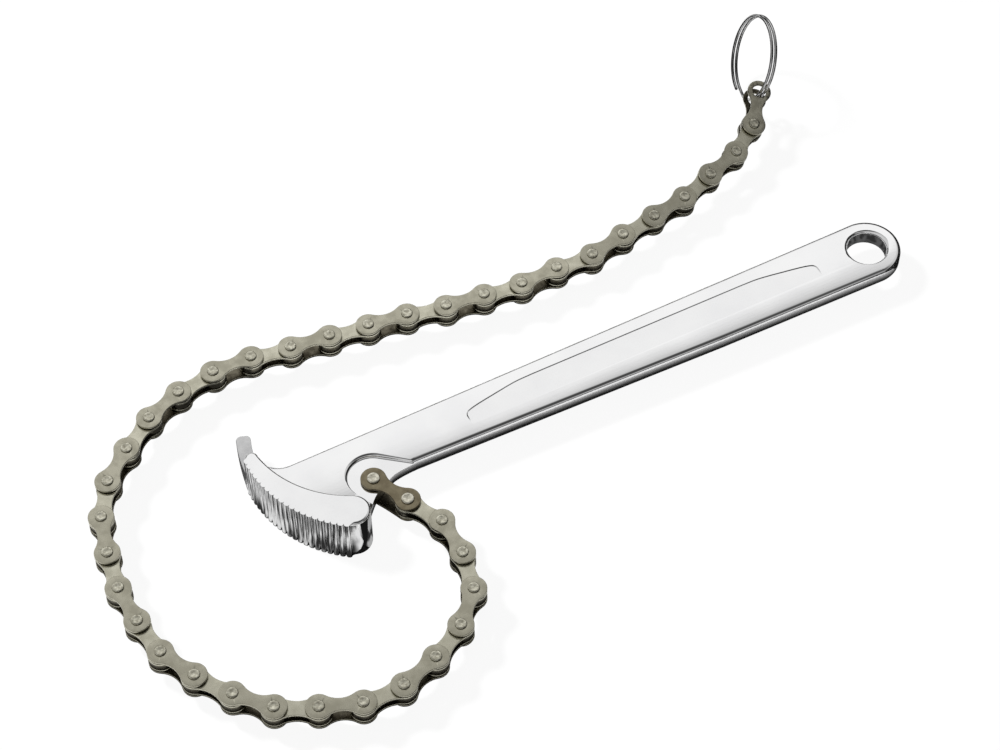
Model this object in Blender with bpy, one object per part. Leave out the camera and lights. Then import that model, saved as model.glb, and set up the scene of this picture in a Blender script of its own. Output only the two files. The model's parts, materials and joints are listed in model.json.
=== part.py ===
"""Chain wrench: a forged handle with a toothed jaw and a hook, a length of roller chain and a pull ring.

The tool lies on the two flat faces of its jaw. The origin is on the lower jaw face, +X runs down
the handle, +Z is up, and the handle and the chain share one middle plane. Lengths are in metres
and angles in degrees.
"""

import math

import bmesh
import bpy
from mathutils import Matrix, Vector

# Roller chain, half inch pitch and three thirty-seconds wide
PITCH = 0.0127
PLATE_END_RADIUS = 0.00395
PLATE_THICKNESS = 0.00085
INNER_WIDTH = 0.0024
SIDE_GAP = 0.0003
OUTER_WAIST = 0.0040
INNER_WAIST = 0.0046
ANCHOR_LOWER_WAIST = 0.0074
PIN_RADIUS = 0.0015
PIN_STANDS_PROUD = 0.00045
RUNNING_GAP = 0.0003
BUSHING_WALL = 0.0005
ROLLER_RADIUS = 0.00375
RIVET_HEAD_RADIUS = 0.00195
RIVET_HEAD_THICKNESS = 0.00025
END_HOLE_RADIUS = 0.00235

# Heights across the chain, counted from its middle plane
INNER_FACE = INNER_WIDTH / 2
INNER_OUTSIDE = INNER_FACE + PLATE_THICKNESS
OUTER_FACE = INNER_OUTSIDE + SIDE_GAP
OUTER_OUTSIDE = OUTER_FACE + PLATE_THICKNESS

# How the chain lies: one heading per link, from the anchor link to the end link
LINK_HEADINGS = (
    -62, -63, -88, -102, -134, -151, -162, -181, -201, -207,
    -227, -235, -244, -261, -267, -278, -284, -301, -319, -325,
    -338, -350, -361, -370, -367, -368, -368, -372, -367, -367,
    -358, -361, -349, -350, -350, -340, -341, -326, -307,
)
LAST_ROLLED_LINKS = 8
ROLL_PER_LINK = 2.2

# Anchor rivet, from the origin
ANCHOR_REACH = 0.0224

# Jaw: a crescent between a toothed arc and an inner arc. The middle of the teeth is given from the
# anchor rivet, and the centre of the inner arc from that of the toothed one
JAW_BACK = 0.02867
JAW_RISE = 0.00011
JAW_RADIUS = 0.0416
JAW_TIP_ANGLE = 178
JAW_HEEL_ANGLE = 236
CRESCENT_DEPTH = 0.0068
CRESCENT_SHIFT = -0.0025
INNER_TIP_ANGLE = 189.5
INNER_HEEL_ANGLE = 245
JAW_THICKNESS = 0.0174
JAW_TIP_BULGE = 0.0019
JAW_HEEL_BULGE = 0.0046
JAW_EDGE_BEVEL = 0.0004
TEETH = 21
TOOTH_DEPTH = 0.0006

# Hook: a thin horn that goes on from the tip of the jaw and catches a roller
HOOK_THICKNESS = 0.0020
HOOK_DEPTH = 0.0047
HOOK_END_ANGLE = 158.5
HOOK_CORNER = 0.0015

# Handle: a tapering bar that ends in an eye. Rises and drops are from the line through the anchor rivet
HANDLE_THICKNESS = 0.0064
HANDLE_EDGE_BEVEL = 0.0010
HANG_HOLE_REACH = 0.1783
HANG_HOLE_RISE = 0.0072
HANG_HOLE_RADIUS = 0.0063
HANG_HOLE_RIM = 0.0008
HANDLE_END_RADIUS = 0.0108
NECK_TOP = 0.0164
NECK_START = 0.0200
NECK_FILLET_RUN = 0.0062
NECK_FILLET_RISE = 0.0029
BELLY_REACH = 0.1200
BELLY_DROP = 0.0029
NECK_RUN = 0.0145
THROAT_DROP = 0.0144
JAW_CORE_DEPTH = 0.0035
JAW_CORE_TIP_TURN = 2
JAW_CORE_HEEL_TURN = 4

# Pocket in which the first link swings, on both faces of the handle
POCKET_RADIUS = 0.0078
POCKET_RISE = 0.0010
POCKET_MOUTH_RISE = 0.0005
POCKET_HEEL_BACK = 0.0045
POCKET_HEEL_DROP = 0.0088
POCKET_SLOPE = 0.0007

# Long shallow panel on both faces of the handle, deepest along its upper side
PANEL_START = 0.0352
PANEL_END = 0.1600
PANEL_LOW = 0.0068
PANEL_HIGH = 0.0124
PANEL_DEPTH = 0.0003

# Pull ring: two turns of one wire
RING_RADIUS = 0.0140
RING_WIRE = 0.0010
RING_TURN_SPACING = 0.00143
RING_CUT_ANGLE = -40.5
RING_CROSSOVER = 22.5
RING_SWING = 16
RING_LEAN = -7
RING_TILT = 10
RING_SHIFT = -0.0006
RING_SIDE_SHIFT = -0.0002

# How finely curves are divided
PLATE_END_SEGMENTS = 7
PIN_SIDES = 8
ROLLER_SIDES = 10
HOLE_SIDES = 24
BEND_SEGMENTS = 6
RING_POINTS_PER_TURN = 24

# Overrun of every cutting solid past the face that it cuts
OVERRUN = 0.0010

# How near a point has to be to a height to lie on it
SAME_HEIGHT = 0.0001

MIDDLE_HEIGHT = JAW_THICKNESS / 2
UP = Vector((0, 0, 1))


def clear_scene():
    """Remove every object of the scene that Blender starts with."""
    for old in list(bpy.data.objects):
        bpy.data.objects.remove(old)


def make_material(name, colour, roughness, metallic):
    """A Principled BSDF material."""
    material = bpy.data.materials.new(name)
    material.use_nodes = True
    shader = material.node_tree.nodes["Principled BSDF"]
    shader.inputs["Base Color"].default_value = (*colour, 1)
    shader.inputs["Roughness"].default_value = roughness
    shader.inputs["Metallic"].default_value = metallic
    return material


def on_circle(centre, radius, angle):
    """The point of a circle at an angle in degrees."""
    turn = math.radians(angle)
    return (centre[0] + radius * math.cos(turn), centre[1] + radius * math.sin(turn))


def arc(centre, radius, start, end, segments):
    """Points of an arc, both ends included."""
    return [on_circle(centre, radius, start + (end - start) * i / segments) for i in range(segments + 1)]


def around_hole(radius, sides):
    """Corner radius of a regular hole whose flats stay clear of a circle of this radius."""
    return radius / math.cos(math.pi / sides)


def prism_mesh(outline, low, high):
    """A closed bmesh prism: the outline, counterclockwise, between two heights."""
    shape = bmesh.new()
    floor = [shape.verts.new((x, y, low)) for x, y in outline]
    face = shape.faces.new(floor)
    grown = bmesh.ops.extrude_face_region(shape, geom=[face])
    lifted = [item for item in grown["geom"] if isinstance(item, bmesh.types.BMVert)]
    bmesh.ops.translate(shape, verts=lifted, vec=UP * (high - low))
    bmesh.ops.recalc_face_normals(shape, faces=shape.faces)
    return shape


def bevel_rims(shape, width, heights):
    """Chamfer the edges of a prism that lie at the given heights."""
    rims = [
        edge
        for edge in shape.edges
        if any(all(abs(end.co.z - height) < SAME_HEIGHT for end in edge.verts) for height in heights)
    ]
    bmesh.ops.bevel(
        shape, geom=rims, offset=width, segments=1, profile=0.5, affect="EDGES", material=-1
    )


def grow_top(shape, centre, high, growth):
    """Widen a prism's top face about a vertical axis, so that its walls slope."""
    highest = [vert for vert in shape.verts if vert.co.z > high - SAME_HEIGHT]
    middle = Matrix.Translation((-centre[0], -centre[1], 0))
    bmesh.ops.scale(shape, vec=(growth, growth, 1), space=middle, verts=highest)


def turn_over(shape):
    """Mirror a bmesh in the middle plane, with its faces still outward."""
    bmesh.ops.scale(shape, vec=(1, 1, -1), verts=shape.verts)
    bmesh.ops.recalc_face_normals(shape, faces=shape.faces)


def add_object(name, shape, material=None):
    """Turn a bmesh into a scene object, shaded smooth over its rounder edges."""
    mesh = bpy.data.meshes.new(name)
    shape.to_mesh(mesh)
    shape.free()
    if material:
        mesh.materials.append(material)
    mesh.shade_smooth()
    mesh.set_sharp_from_angle(angle=math.radians(50))
    solid = bpy.data.objects.new(name, mesh)
    bpy.context.scene.collection.objects.link(solid)
    return solid


def add_prism(name, outline, low, high, material=None):
    """A prism as a scene object."""
    return add_object(name, prism_mesh(outline, low, high), material)


def hide_helper(helper):
    """Keep a cutting or joining solid out of renders."""
    helper.hide_render = True
    helper.display_type = "WIRE"


def combine(target, helpers, operation):
    """Join the helpers to the target, or cut them out of it, and delete them."""
    for helper in helpers:
        hide_helper(helper)
        step = target.modifiers.new(operation.lower(), "BOOLEAN")
        step.operation = operation
        step.solver = "EXACT"
        step.object = helper
    settled = bpy.data.meshes.new_from_object(target.evaluated_get(bpy.context.evaluated_depsgraph_get()))
    target.modifiers.clear()
    target.data = settled
    for helper in helpers:
        bpy.data.objects.remove(helper)
    return target


def cylinder(name, centre, radius, sides, low, high, material=None):
    """A regular prism about a vertical axis."""
    outline = arc(centre, radius, 0, 360 - 360 / sides, sides - 1)
    return add_prism(name, outline, low, high, material)


def plate_outline(waist):
    """Figure of eight outline of a link plate, from the near pin at x = 0 to the far pin."""
    half_waist = waist / 2
    half_pitch = PITCH / 2
    squares = half_pitch**2 + half_waist**2 - PLATE_END_RADIUS**2
    hollow_radius = squares / (2 * (PLATE_END_RADIUS - half_waist))
    tangent = math.degrees(math.atan2(half_waist + hollow_radius, half_pitch))
    near = arc((0, 0), PLATE_END_RADIUS, tangent, 360 - tangent, PLATE_END_SEGMENTS)
    far = arc((PITCH, 0), PLATE_END_RADIUS, 180 + tangent, 540 - tangent, PLATE_END_SEGMENTS)
    return near + [(half_pitch, -half_waist)] + far + [(half_pitch, half_waist)]


def plate(name, waist, low, high, hole_radii, material=None):
    """A link plate with a hole at each pin. A hole radius of 0 leaves that end whole."""
    solid = add_prism(name, plate_outline(waist), low, high, material)
    cutters = [
        cylinder("hole", (x, 0), around_hole(radius, PIN_SIDES), PIN_SIDES, low - OVERRUN, high + OVERRUN)
        for x, radius in zip((0, PITCH), hole_radii)
        if radius
    ]
    if cutters:
        combine(solid, cutters, "DIFFERENCE")
    return solid


def outer_link(name, material):
    """Two outer plates riveted on two pins, joined into one solid."""
    pin_reach = OUTER_OUTSIDE + PIN_STANDS_PROUD
    body = plate(name, OUTER_WAIST, OUTER_FACE, OUTER_OUTSIDE, (0, 0), material)
    others = [plate("lower", OUTER_WAIST, -OUTER_OUTSIDE, -OUTER_FACE, (0, 0))]
    others += [cylinder("pin", (x, 0), PIN_RADIUS, PIN_SIDES, -pin_reach, pin_reach) for x in (0, PITCH)]
    return combine(body, others, "UNION")


def inner_link(name, material):
    """Two inner plates on two bushings with their rollers, joined into one solid and bored for the pins."""
    body = plate(name, INNER_WAIST, INNER_FACE, INNER_OUTSIDE, (0, 0), material)
    inside = INNER_FACE + PLATE_THICKNESS / 2
    others = [plate("lower", INNER_WAIST, -INNER_OUTSIDE, -INNER_FACE, (0, 0))]
    others += [
        cylinder("roller", (x, 0), ROLLER_RADIUS, ROLLER_SIDES, -inside, inside) for x in (0, PITCH)
    ]
    combine(body, others, "UNION")
    bore = around_hole(PIN_RADIUS + RUNNING_GAP, PIN_SIDES)
    reach = INNER_OUTSIDE + OVERRUN
    bores = [cylinder("bore", (x, 0), bore, PIN_SIDES, -reach, reach) for x in (0, PITCH)]
    return combine(body, bores, "DIFFERENCE")


def rivet(name, x, plate_top, material):
    """A rivet with a flat head over each of the two plates that it holds."""
    under_head = plate_top + RUNNING_GAP
    top = under_head + RIVET_HEAD_THICKNESS
    body = cylinder(name, (x, 0), PIN_RADIUS, PIN_SIDES, -under_head - RIVET_HEAD_THICKNESS / 2,
                    under_head + RIVET_HEAD_THICKNESS / 2, material)
    heads = [cylinder("head", (x, 0), RIVET_HEAD_RADIUS, ROLLER_SIDES, under_head, top)]
    heads.append(cylinder("head", (x, 0), RIVET_HEAD_RADIUS, ROLLER_SIDES, -top, -under_head))
    return combine(body, heads, "UNION")


def tube(name, x, bore_radius, outer_radius, half_length, material):
    """A short tube about a pin, such as a bushing or a roller."""
    body = cylinder(name, (x, 0), outer_radius, ROLLER_SIDES, -half_length, half_length, material)
    reach = half_length + OVERRUN
    bore = cylinder("bore", (x, 0), around_hole(bore_radius, ROLLER_SIDES), ROLLER_SIDES, -reach, reach)
    return combine(body, [bore], "DIFFERENCE")


def attach(solid, frame):
    """Fix a solid, modelled in a link's own frame, to that link's empty."""
    solid.parent = frame
    return solid


def add_empty(name, parent, matrix):
    """An empty that carries pieces. Its matrix is given in its parent's frame."""
    frame = bpy.data.objects.new(name, None)
    frame.empty_display_size = PITCH / 2
    bpy.context.scene.collection.objects.link(frame)
    frame.parent = parent
    frame.matrix_local = matrix
    return frame


def link_matrix(index):
    """Where a link sits in the frame of the link before it. A link turns about the pin of the outer link."""
    if index == 0:
        start = Matrix.Translation((ANCHOR_REACH, 0, MIDDLE_HEIGHT))
        return start @ Matrix.Rotation(math.radians(LINK_HEADINGS[0]), 4, "Z")
    turn = Matrix.Rotation(math.radians(LINK_HEADINGS[index] - LINK_HEADINGS[index - 1]), 4, "Z")
    rolls = index >= len(LINK_HEADINGS) - LAST_ROLLED_LINKS
    roll = Matrix.Rotation(math.radians(ROLL_PER_LINK if rolls else 0), 4, "X")
    before_is_outer = index % 2 == 1
    return Matrix.Translation((PITCH, 0, 0)) @ (turn @ roll if before_is_outer else roll @ turn)


def jaw_centre():
    """Centre of the arc of teeth."""
    teeth_middle = (ANCHOR_REACH - JAW_BACK, JAW_RISE)
    return on_circle(teeth_middle, -JAW_RADIUS, (JAW_TIP_ANGLE + JAW_HEEL_ANGLE) / 2)


def inner_centre():
    """Centre of the inner arc of the jaw."""
    centre = jaw_centre()
    return (centre[0] + CRESCENT_SHIFT, centre[1] + CRESCENT_DEPTH)


def bulging_end(first, last, bulge):
    """Rounded end of the jaw: half an ellipse between two points, bulging to the right of the way."""
    start = Vector(first)
    finish = Vector(last)
    middle = (start + finish) / 2
    half_width = (start - finish) / 2
    outward = Vector((-half_width.y, half_width.x)).normalized() * bulge
    turns = [math.pi * step / BEND_SEGMENTS for step in range(1, BEND_SEGMENTS)]
    return [tuple(middle + half_width * math.cos(turn) + outward * math.sin(turn)) for turn in turns]


def jaw_outline():
    """Crescent with a toothed outer edge, counterclockwise from its tip."""
    centre = jaw_centre()
    pitch = (JAW_HEEL_ANGLE - JAW_TIP_ANGLE) / TEETH
    teeth = []
    for tooth in range(TEETH):
        angle = JAW_TIP_ANGLE + pitch * tooth
        teeth.append(on_circle(centre, JAW_RADIUS - TOOTH_DEPTH, angle))
        teeth.append(on_circle(centre, JAW_RADIUS, angle + pitch / 2))
    teeth.append(on_circle(centre, JAW_RADIUS - TOOTH_DEPTH, JAW_HEEL_ANGLE))
    inner_radius = JAW_RADIUS - CRESCENT_DEPTH
    inside = arc(inner_centre(), inner_radius, INNER_HEEL_ANGLE, INNER_TIP_ANGLE, 2 * BEND_SEGMENTS)
    heel = bulging_end(teeth[-1], inside[0], JAW_HEEL_BULGE)
    tip = bulging_end(inside[-1], teeth[0], JAW_TIP_BULGE)
    return teeth + heel + inside + tip


def hook_outline():
    """Band that goes on from the tip of the jaw along the same arc, with rounded corners."""
    centre = jaw_centre()
    inner_radius = JAW_RADIUS - HOOK_DEPTH
    outer_radius = JAW_RADIUS - TOOTH_DEPTH
    root_angle = JAW_TIP_ANGLE + (JAW_HEEL_ANGLE - JAW_TIP_ANGLE) / TEETH
    corner_angle = math.degrees(HOOK_CORNER / JAW_RADIUS)
    end_angle = HOOK_END_ANGLE + corner_angle
    outer_corner = on_circle(centre, outer_radius - HOOK_CORNER, end_angle)
    inner_corner = on_circle(centre, inner_radius + HOOK_CORNER, end_angle)
    outline = arc(centre, inner_radius, root_angle, end_angle, BEND_SEGMENTS)[:-1]
    outline += arc(inner_corner, HOOK_CORNER, end_angle - 180, end_angle - 90, BEND_SEGMENTS // 2)
    outline += arc(outer_corner, HOOK_CORNER, end_angle - 90, end_angle, BEND_SEGMENTS // 2)[1:]
    outline += arc(centre, outer_radius, end_angle, root_angle, BEND_SEGMENTS)[1:]
    return outline


def handle_outline():
    """Bar, neck, throat and the core of the jaw in one outline, counterclockwise from the heel."""
    hole = (ANCHOR_REACH + HANG_HOLE_REACH, HANG_HOLE_RISE)
    throat_shares = (
        (-0.57, 1.0), (-0.42, 0.85), (-0.34, 0.68), (-0.28, 0.56),
        (-0.06, 0.33), (0.32, 0.12), (0.57, 0.04), (1.0, 0.0),
    )
    throat = [(ANCHOR_REACH + NECK_RUN * x, -THROAT_DROP * y) for x, y in throat_shares]
    belly = [(ANCHOR_REACH + BELLY_REACH, -BELLY_DROP)]
    end = arc(hole, HANDLE_END_RADIUS, -90, 90, 2 * BEND_SEGMENTS)
    fillet_shares = ((0, 0), (0.35, 0.1), (0.7, 0.45), (1.0, 1.0), (1.5, 1.6))
    fillet = [
        (ANCHOR_REACH - NECK_START - NECK_FILLET_RUN * x, NECK_TOP + NECK_FILLET_RISE * y)
        for x, y in fillet_shares
    ]
    core_start = JAW_TIP_ANGLE + JAW_CORE_TIP_TURN
    core_end = JAW_HEEL_ANGLE - JAW_CORE_HEEL_TURN
    core = arc(jaw_centre(), JAW_RADIUS - JAW_CORE_DEPTH, core_start, core_end, BEND_SEGMENTS)
    return throat + belly + end + fillet + core


def pocket_mesh():
    """Round pocket about the anchor rivet, open along the throat and drawn out to a wedge at the neck."""
    anchor = Vector((ANCHOR_REACH, 0))
    centre = Vector((ANCHOR_REACH, POCKET_RISE))
    mouth = Vector((ANCHOR_REACH + NECK_RUN, POCKET_MOUTH_RISE))
    heel = Vector((ANCHOR_REACH - POCKET_HEEL_BACK, -POCKET_HEEL_DROP))
    to_mouth = mouth - centre
    to_heel = heel - centre
    first = math.degrees(math.atan2(to_mouth.y, to_mouth.x) + math.acos(POCKET_RADIUS / to_mouth.length))
    last = math.degrees(math.atan2(to_heel.y, to_heel.x) - math.acos(POCKET_RADIUS / to_heel.length))
    wall = arc(centre, POCKET_RADIUS, first, last + 360, 2 * BEND_SEGMENTS)
    below = [(heel.x, -THROAT_DROP), (mouth.x + OVERRUN, -THROAT_DROP), (mouth.x + OVERRUN, 0)]
    floor = OUTER_FACE - RUNNING_GAP
    top = HANDLE_THICKNESS / 2
    slope = POCKET_SLOPE / POCKET_RADIUS
    outline = [anchor + (Vector(point) - anchor) * (1 - slope) for point in [mouth] + wall + [heel] + below]
    shape = prism_mesh(outline, floor, top + OVERRUN)
    high_growth = 1 + slope * OVERRUN / (top - floor)
    grow_top(shape, anchor, top + OVERRUN, high_growth / (1 - slope))
    return shape


def panel_mesh():
    """Long lens with blunt ends. Its floor slopes down from the low side to full depth at the high side."""
    start = ANCHOR_REACH + PANEL_START
    length = PANEL_END - PANEL_START
    width = PANEL_HIGH - PANEL_LOW
    shares = ((0, 0.0), (0, 0.4), (0.04, 0.58), (0.08, 0.8), (0.14, 0.98), (0.2, 1.0))
    left = [(start + length * x, PANEL_LOW + width * y) for x, y in shares]
    right = [(start + length * (1 - x), PANEL_LOW + width * y) for x, y in shares]
    top = HANDLE_THICKNESS / 2
    shape = prism_mesh(right + left[::-1], top, top + OVERRUN)
    for vert in shape.verts:
        if vert.co.z < top + SAME_HEIGHT:
            vert.co.z -= PANEL_DEPTH * (vert.co.y - PANEL_LOW) / width
    return shape


def hang_hole_cutter(top):
    """Through hole for the hanging hole, widening to a rim at both faces."""
    hole = (ANCHOR_REACH + HANG_HOLE_REACH, HANG_HOLE_RISE)
    cutter = cylinder("hang_hole", hole, HANG_HOLE_RADIUS, HOLE_SIDES, -top, top)
    outline = arc(hole, HANG_HOLE_RADIUS, 0, 360 - 360 / HOLE_SIDES, HOLE_SIDES - 1)
    growth = 1 + (HANG_HOLE_RIM + OVERRUN) / HANG_HOLE_RADIUS
    rims = [prism_mesh(outline, top - HANG_HOLE_RIM, top + OVERRUN) for side in range(2)]
    for rim in rims:
        grow_top(rim, hole, top + OVERRUN, growth)
    turn_over(rims[1])
    return combine(cutter, [add_object("rim", rim) for rim in rims], "UNION")


def build_handle(material):
    """The forging: handle, web, jaw and hook in one piece."""
    top = HANDLE_THICKNESS / 2
    jaw_top = JAW_THICKNESS / 2
    shank = prism_mesh(handle_outline(), -top, top)
    bevel_rims(shank, HANDLE_EDGE_BEVEL, (-top, top))
    body = add_object("handle", shank, material)
    jaw = prism_mesh(jaw_outline(), -jaw_top, jaw_top)
    bevel_rims(jaw, JAW_EDGE_BEVEL, (-jaw_top, jaw_top))
    hook = add_prism("hook", hook_outline(), -HOOK_THICKNESS / 2, HOOK_THICKNESS / 2)
    combine(body, [add_object("jaw", jaw), hook], "UNION")
    bore = around_hole(PIN_RADIUS + RUNNING_GAP, PIN_SIDES)
    hollows = [pocket_mesh(), pocket_mesh(), panel_mesh(), panel_mesh()]
    for lower_hollow in hollows[1::2]:
        turn_over(lower_hollow)
    cutters = [add_object("hollow", hollow) for hollow in hollows]
    cutters.append(cylinder("rivet_bore", (ANCHOR_REACH, 0), bore, PIN_SIDES, -top - OVERRUN, top + OVERRUN))
    cutters.append(hang_hole_cutter(top))
    combine(body, cutters, "DIFFERENCE")
    body.location = (0, 0, MIDDLE_HEIGHT)
    return body


def build_anchor_link(frame, dark, bright):
    """First link: a waisted plate above the web, a straight one below it, and the rivets that hold them."""
    holes = (PIN_RADIUS + RUNNING_GAP, PIN_RADIUS + RUNNING_GAP)
    attach(plate("anchor_plate_top", OUTER_WAIST, OUTER_FACE, OUTER_OUTSIDE, holes, dark), frame)
    attach(plate("anchor_plate_bottom", ANCHOR_LOWER_WAIST, -OUTER_OUTSIDE, -OUTER_FACE, holes, dark), frame)
    attach(rivet("anchor_rivet", 0, OUTER_OUTSIDE, bright), frame)
    attach(rivet("first_link_rivet", PITCH, OUTER_OUTSIDE, bright), frame)


def build_first_inner_link(frame, material):
    """Inner link in its six loose pieces. Its rollers have empties of their own on their axes."""
    bushing_bore = PIN_RADIUS + RUNNING_GAP
    bushing_radius = bushing_bore + BUSHING_WALL
    hole = bushing_radius + RUNNING_GAP
    holes = (hole, hole)
    name = "inner_link_01"
    attach(plate(f"{name}_plate_top", INNER_WAIST, INNER_FACE, INNER_OUTSIDE, holes, material), frame)
    attach(plate(f"{name}_plate_bottom", INNER_WAIST, -INNER_OUTSIDE, -INNER_FACE, holes, material), frame)
    for letter, x in zip("ab", (0, PITCH)):
        attach(tube(f"bushing_{letter}", x, bushing_bore, bushing_radius, INNER_OUTSIDE, material), frame)
        axle = add_empty(f"roller_{letter}_axis", frame, Matrix.Translation((x, 0, 0)))
        roller = tube(f"roller_{letter}", 0, hole, ROLLER_RADIUS, INNER_FACE - RUNNING_GAP, material)
        attach(roller, axle)


def build_first_outer_link(frame, material):
    """Outer link in its four loose pieces."""
    holes = (PIN_RADIUS + RUNNING_GAP, PIN_RADIUS + RUNNING_GAP)
    name = "outer_link_02"
    attach(plate(f"{name}_plate_top", OUTER_WAIST, OUTER_FACE, OUTER_OUTSIDE, holes, material), frame)
    attach(plate(f"{name}_plate_bottom", OUTER_WAIST, -OUTER_OUTSIDE, -OUTER_FACE, holes, material), frame)
    for letter, x in zip("ab", (0, PITCH)):
        attach(rivet(f"chain_pin_{letter}", x, OUTER_OUTSIDE, material), frame)


def build_end_link(frame, material):
    """Last link: two plates on one rivet, with a wide hole at the far end for the pull ring."""
    hole = PIN_RADIUS + RUNNING_GAP
    holes = (hole, END_HOLE_RADIUS)
    attach(plate("end_plate_top", OUTER_WAIST, OUTER_FACE, OUTER_OUTSIDE, holes, material), frame)
    attach(plate("end_plate_bottom", OUTER_WAIST, -OUTER_OUTSIDE, -OUTER_FACE, holes, material), frame)
    attach(rivet("end_rivet", 0, OUTER_OUTSIDE, material), frame)


def ring_points():
    """Centre line of the ring's wire: two turns side by side with one short crossover between them."""
    start = RING_CROSSOVER
    total = 720 - 2 * RING_CROSSOVER
    steps = round(total * RING_POINTS_PER_TURN / 360)
    points = []
    for step in range(steps + 1):
        run = start + total * step / steps
        crossed = min(1, max(0, (run - 360 + RING_CROSSOVER) / (2 * RING_CROSSOVER)))
        aside = RING_TURN_SPACING * (crossed * crossed * (3 - 2 * crossed) - 0.5)
        turn = math.radians(run + RING_CUT_ANGLE)
        points.append(
            Vector((RING_RADIUS * (1 - math.cos(turn)), aside, RING_RADIUS * math.sin(turn)))
        )
    return points


def least_gap(points):
    """Least gap of the wire to itself, between points more than a quarter of a turn apart along it."""
    apart = RING_POINTS_PER_TURN // 4
    distances = [
        (points[i] - points[j]).length
        for i in range(len(points))
        for j in range(i + apart, len(points))
    ]
    return min(distances) - RING_WIRE


def build_ring(frame, material):
    """Split ring as one bevelled curve. Its empty sits on the axis of the holes in the end plates."""
    points = ring_points()
    curve = bpy.data.curves.new("pull_ring", "CURVE")
    curve.dimensions = "3D"
    spline = curve.splines.new("POLY")
    spline.points.add(len(points) - 1)
    for slot, point in zip(spline.points, points):
        slot.co = (*point, 1)
    curve.bevel_depth = RING_WIRE / 2
    curve.bevel_resolution = 1
    curve.use_fill_caps = True
    curve.materials.append(material)
    ring = bpy.data.objects.new("pull_ring", curve)
    bpy.context.scene.collection.objects.link(ring)
    swing = Matrix.Rotation(math.radians(RING_SWING), 4, "Z")
    lean = Matrix.Rotation(math.radians(RING_LEAN), 4, "Y") @ Matrix.Rotation(math.radians(RING_TILT), 4, "X")
    axis = add_empty("ring_axis", frame, Matrix.Translation((PITCH, 0, 0)) @ swing)
    ring.parent = axis
    ring.matrix_local = Matrix.Translation((RING_SHIFT, RING_SIDE_SHIFT, 0)) @ lean
    print(f"pull ring: least gap of the wire to itself {least_gap(points) * 1000:.2f} mm")
    return ring


def build_chain(nickel, dark, bright):
    """Every link on its own empty, each empty the child of the one before it."""
    outer = outer_link("outer_link", nickel)
    inner = inner_link("inner_link", nickel)
    frame = None
    last = len(LINK_HEADINGS) - 1
    for index in range(last + 1):
        frame = add_empty(f"link_{index:02d}_axis", frame, link_matrix(index))
        if index == 0:
            build_anchor_link(frame, dark, bright)
        elif index == 1:
            build_first_inner_link(frame, nickel)
        elif index == 2:
            build_first_outer_link(frame, nickel)
        elif index == last:
            build_end_link(frame, nickel)
            build_ring(frame, bright)
        else:
            source = inner if index % 2 else outer
            link = bpy.data.objects.new(f"{source.name}_{index:02d}", source.data)
            bpy.context.scene.collection.objects.link(link)
            attach(link, frame)
    for source in (outer, inner):
        bpy.data.objects.remove(source)


def main():
    """Build the whole tool."""
    clear_scene()
    chrome = make_material("polished_chrome", (0.80, 0.81, 0.82), 0.10, 1)
    nickel = make_material("nickel_plated_steel", (0.48, 0.46, 0.38), 0.32, 1)
    dark = make_material("black_oxide_steel", (0.13, 0.11, 0.085), 0.45, 1)
    bright = make_material("bright_steel", (0.72, 0.71, 0.68), 0.18, 1)
    build_handle(chrome)
    build_chain(nickel, dark, bright)


main()
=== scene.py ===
"""Looks of a chain wrench: a polished forging, a plated roller chain and a split pull ring.

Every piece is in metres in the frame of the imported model. The tool lies on its jaw, +X runs down
the handle and +Z is up.
"""

import json
import logging
import math
from dataclasses import dataclass
from enum import Enum
from typing import Any, Iterable, Sequence

import bmesh
import bpy
from bmesh.types import BMEdge, BMesh, BMFace, BMVert
from mathutils import Matrix, Vector


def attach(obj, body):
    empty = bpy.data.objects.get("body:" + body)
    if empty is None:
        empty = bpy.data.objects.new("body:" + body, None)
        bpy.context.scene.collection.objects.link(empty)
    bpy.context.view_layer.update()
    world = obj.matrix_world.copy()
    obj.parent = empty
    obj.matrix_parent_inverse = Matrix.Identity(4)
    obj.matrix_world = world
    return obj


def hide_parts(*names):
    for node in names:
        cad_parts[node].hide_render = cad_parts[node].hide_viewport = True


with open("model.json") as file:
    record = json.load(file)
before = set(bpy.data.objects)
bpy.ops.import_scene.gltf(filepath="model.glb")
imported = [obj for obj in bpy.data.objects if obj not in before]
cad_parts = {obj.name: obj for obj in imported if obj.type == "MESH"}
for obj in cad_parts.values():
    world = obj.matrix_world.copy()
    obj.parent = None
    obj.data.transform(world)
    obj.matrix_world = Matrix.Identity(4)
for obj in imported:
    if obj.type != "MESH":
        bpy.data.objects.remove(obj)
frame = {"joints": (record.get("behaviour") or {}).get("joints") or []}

log = logging.getLogger("chain_wrench")

Point = tuple[float, float]
Triple = tuple[float, float, float]
Quad = tuple[float, float, float, float]
Points = tuple[Point, ...]
Socket = bpy.types.NodeSocket

MM = 0.001
TINY = 1e-6
UP = Vector((0.0, 0.0, 1.0))
FULL_WEIGHT = 100


class Slot(Enum):
    """Material slots of the record."""

    FORGING = "polished_chrome"
    CHAIN = "chain_nickel"
    ANCHOR = "dark_oxide"
    RIVET = "bright_steel"
    RING = "ring_chrome"


class Side(Enum):
    """The two faces of the tool."""

    TOP = 1
    BOTTOM = -1


def point_on(centre: Sequence[float], radius: float, angle: float) -> Point:
    """Find a point of a circle.

    Args:
        centre: Centre of the circle.
        radius: Its radius.
        angle: Angle of the point in degrees.

    Returns:
        The point's x and y.
    """
    turn = math.radians(angle)
    return centre[0] + radius * math.cos(turn), centre[1] + radius * math.sin(turn)


def angle_of(place: Vector, centre: Sequence[float]) -> float:
    """Find the angle at which a flat place lies from a centre, in degrees from 0 to 360."""
    out = place - Vector(centre)
    return math.degrees(math.atan2(out.y, out.x)) % 360


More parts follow.
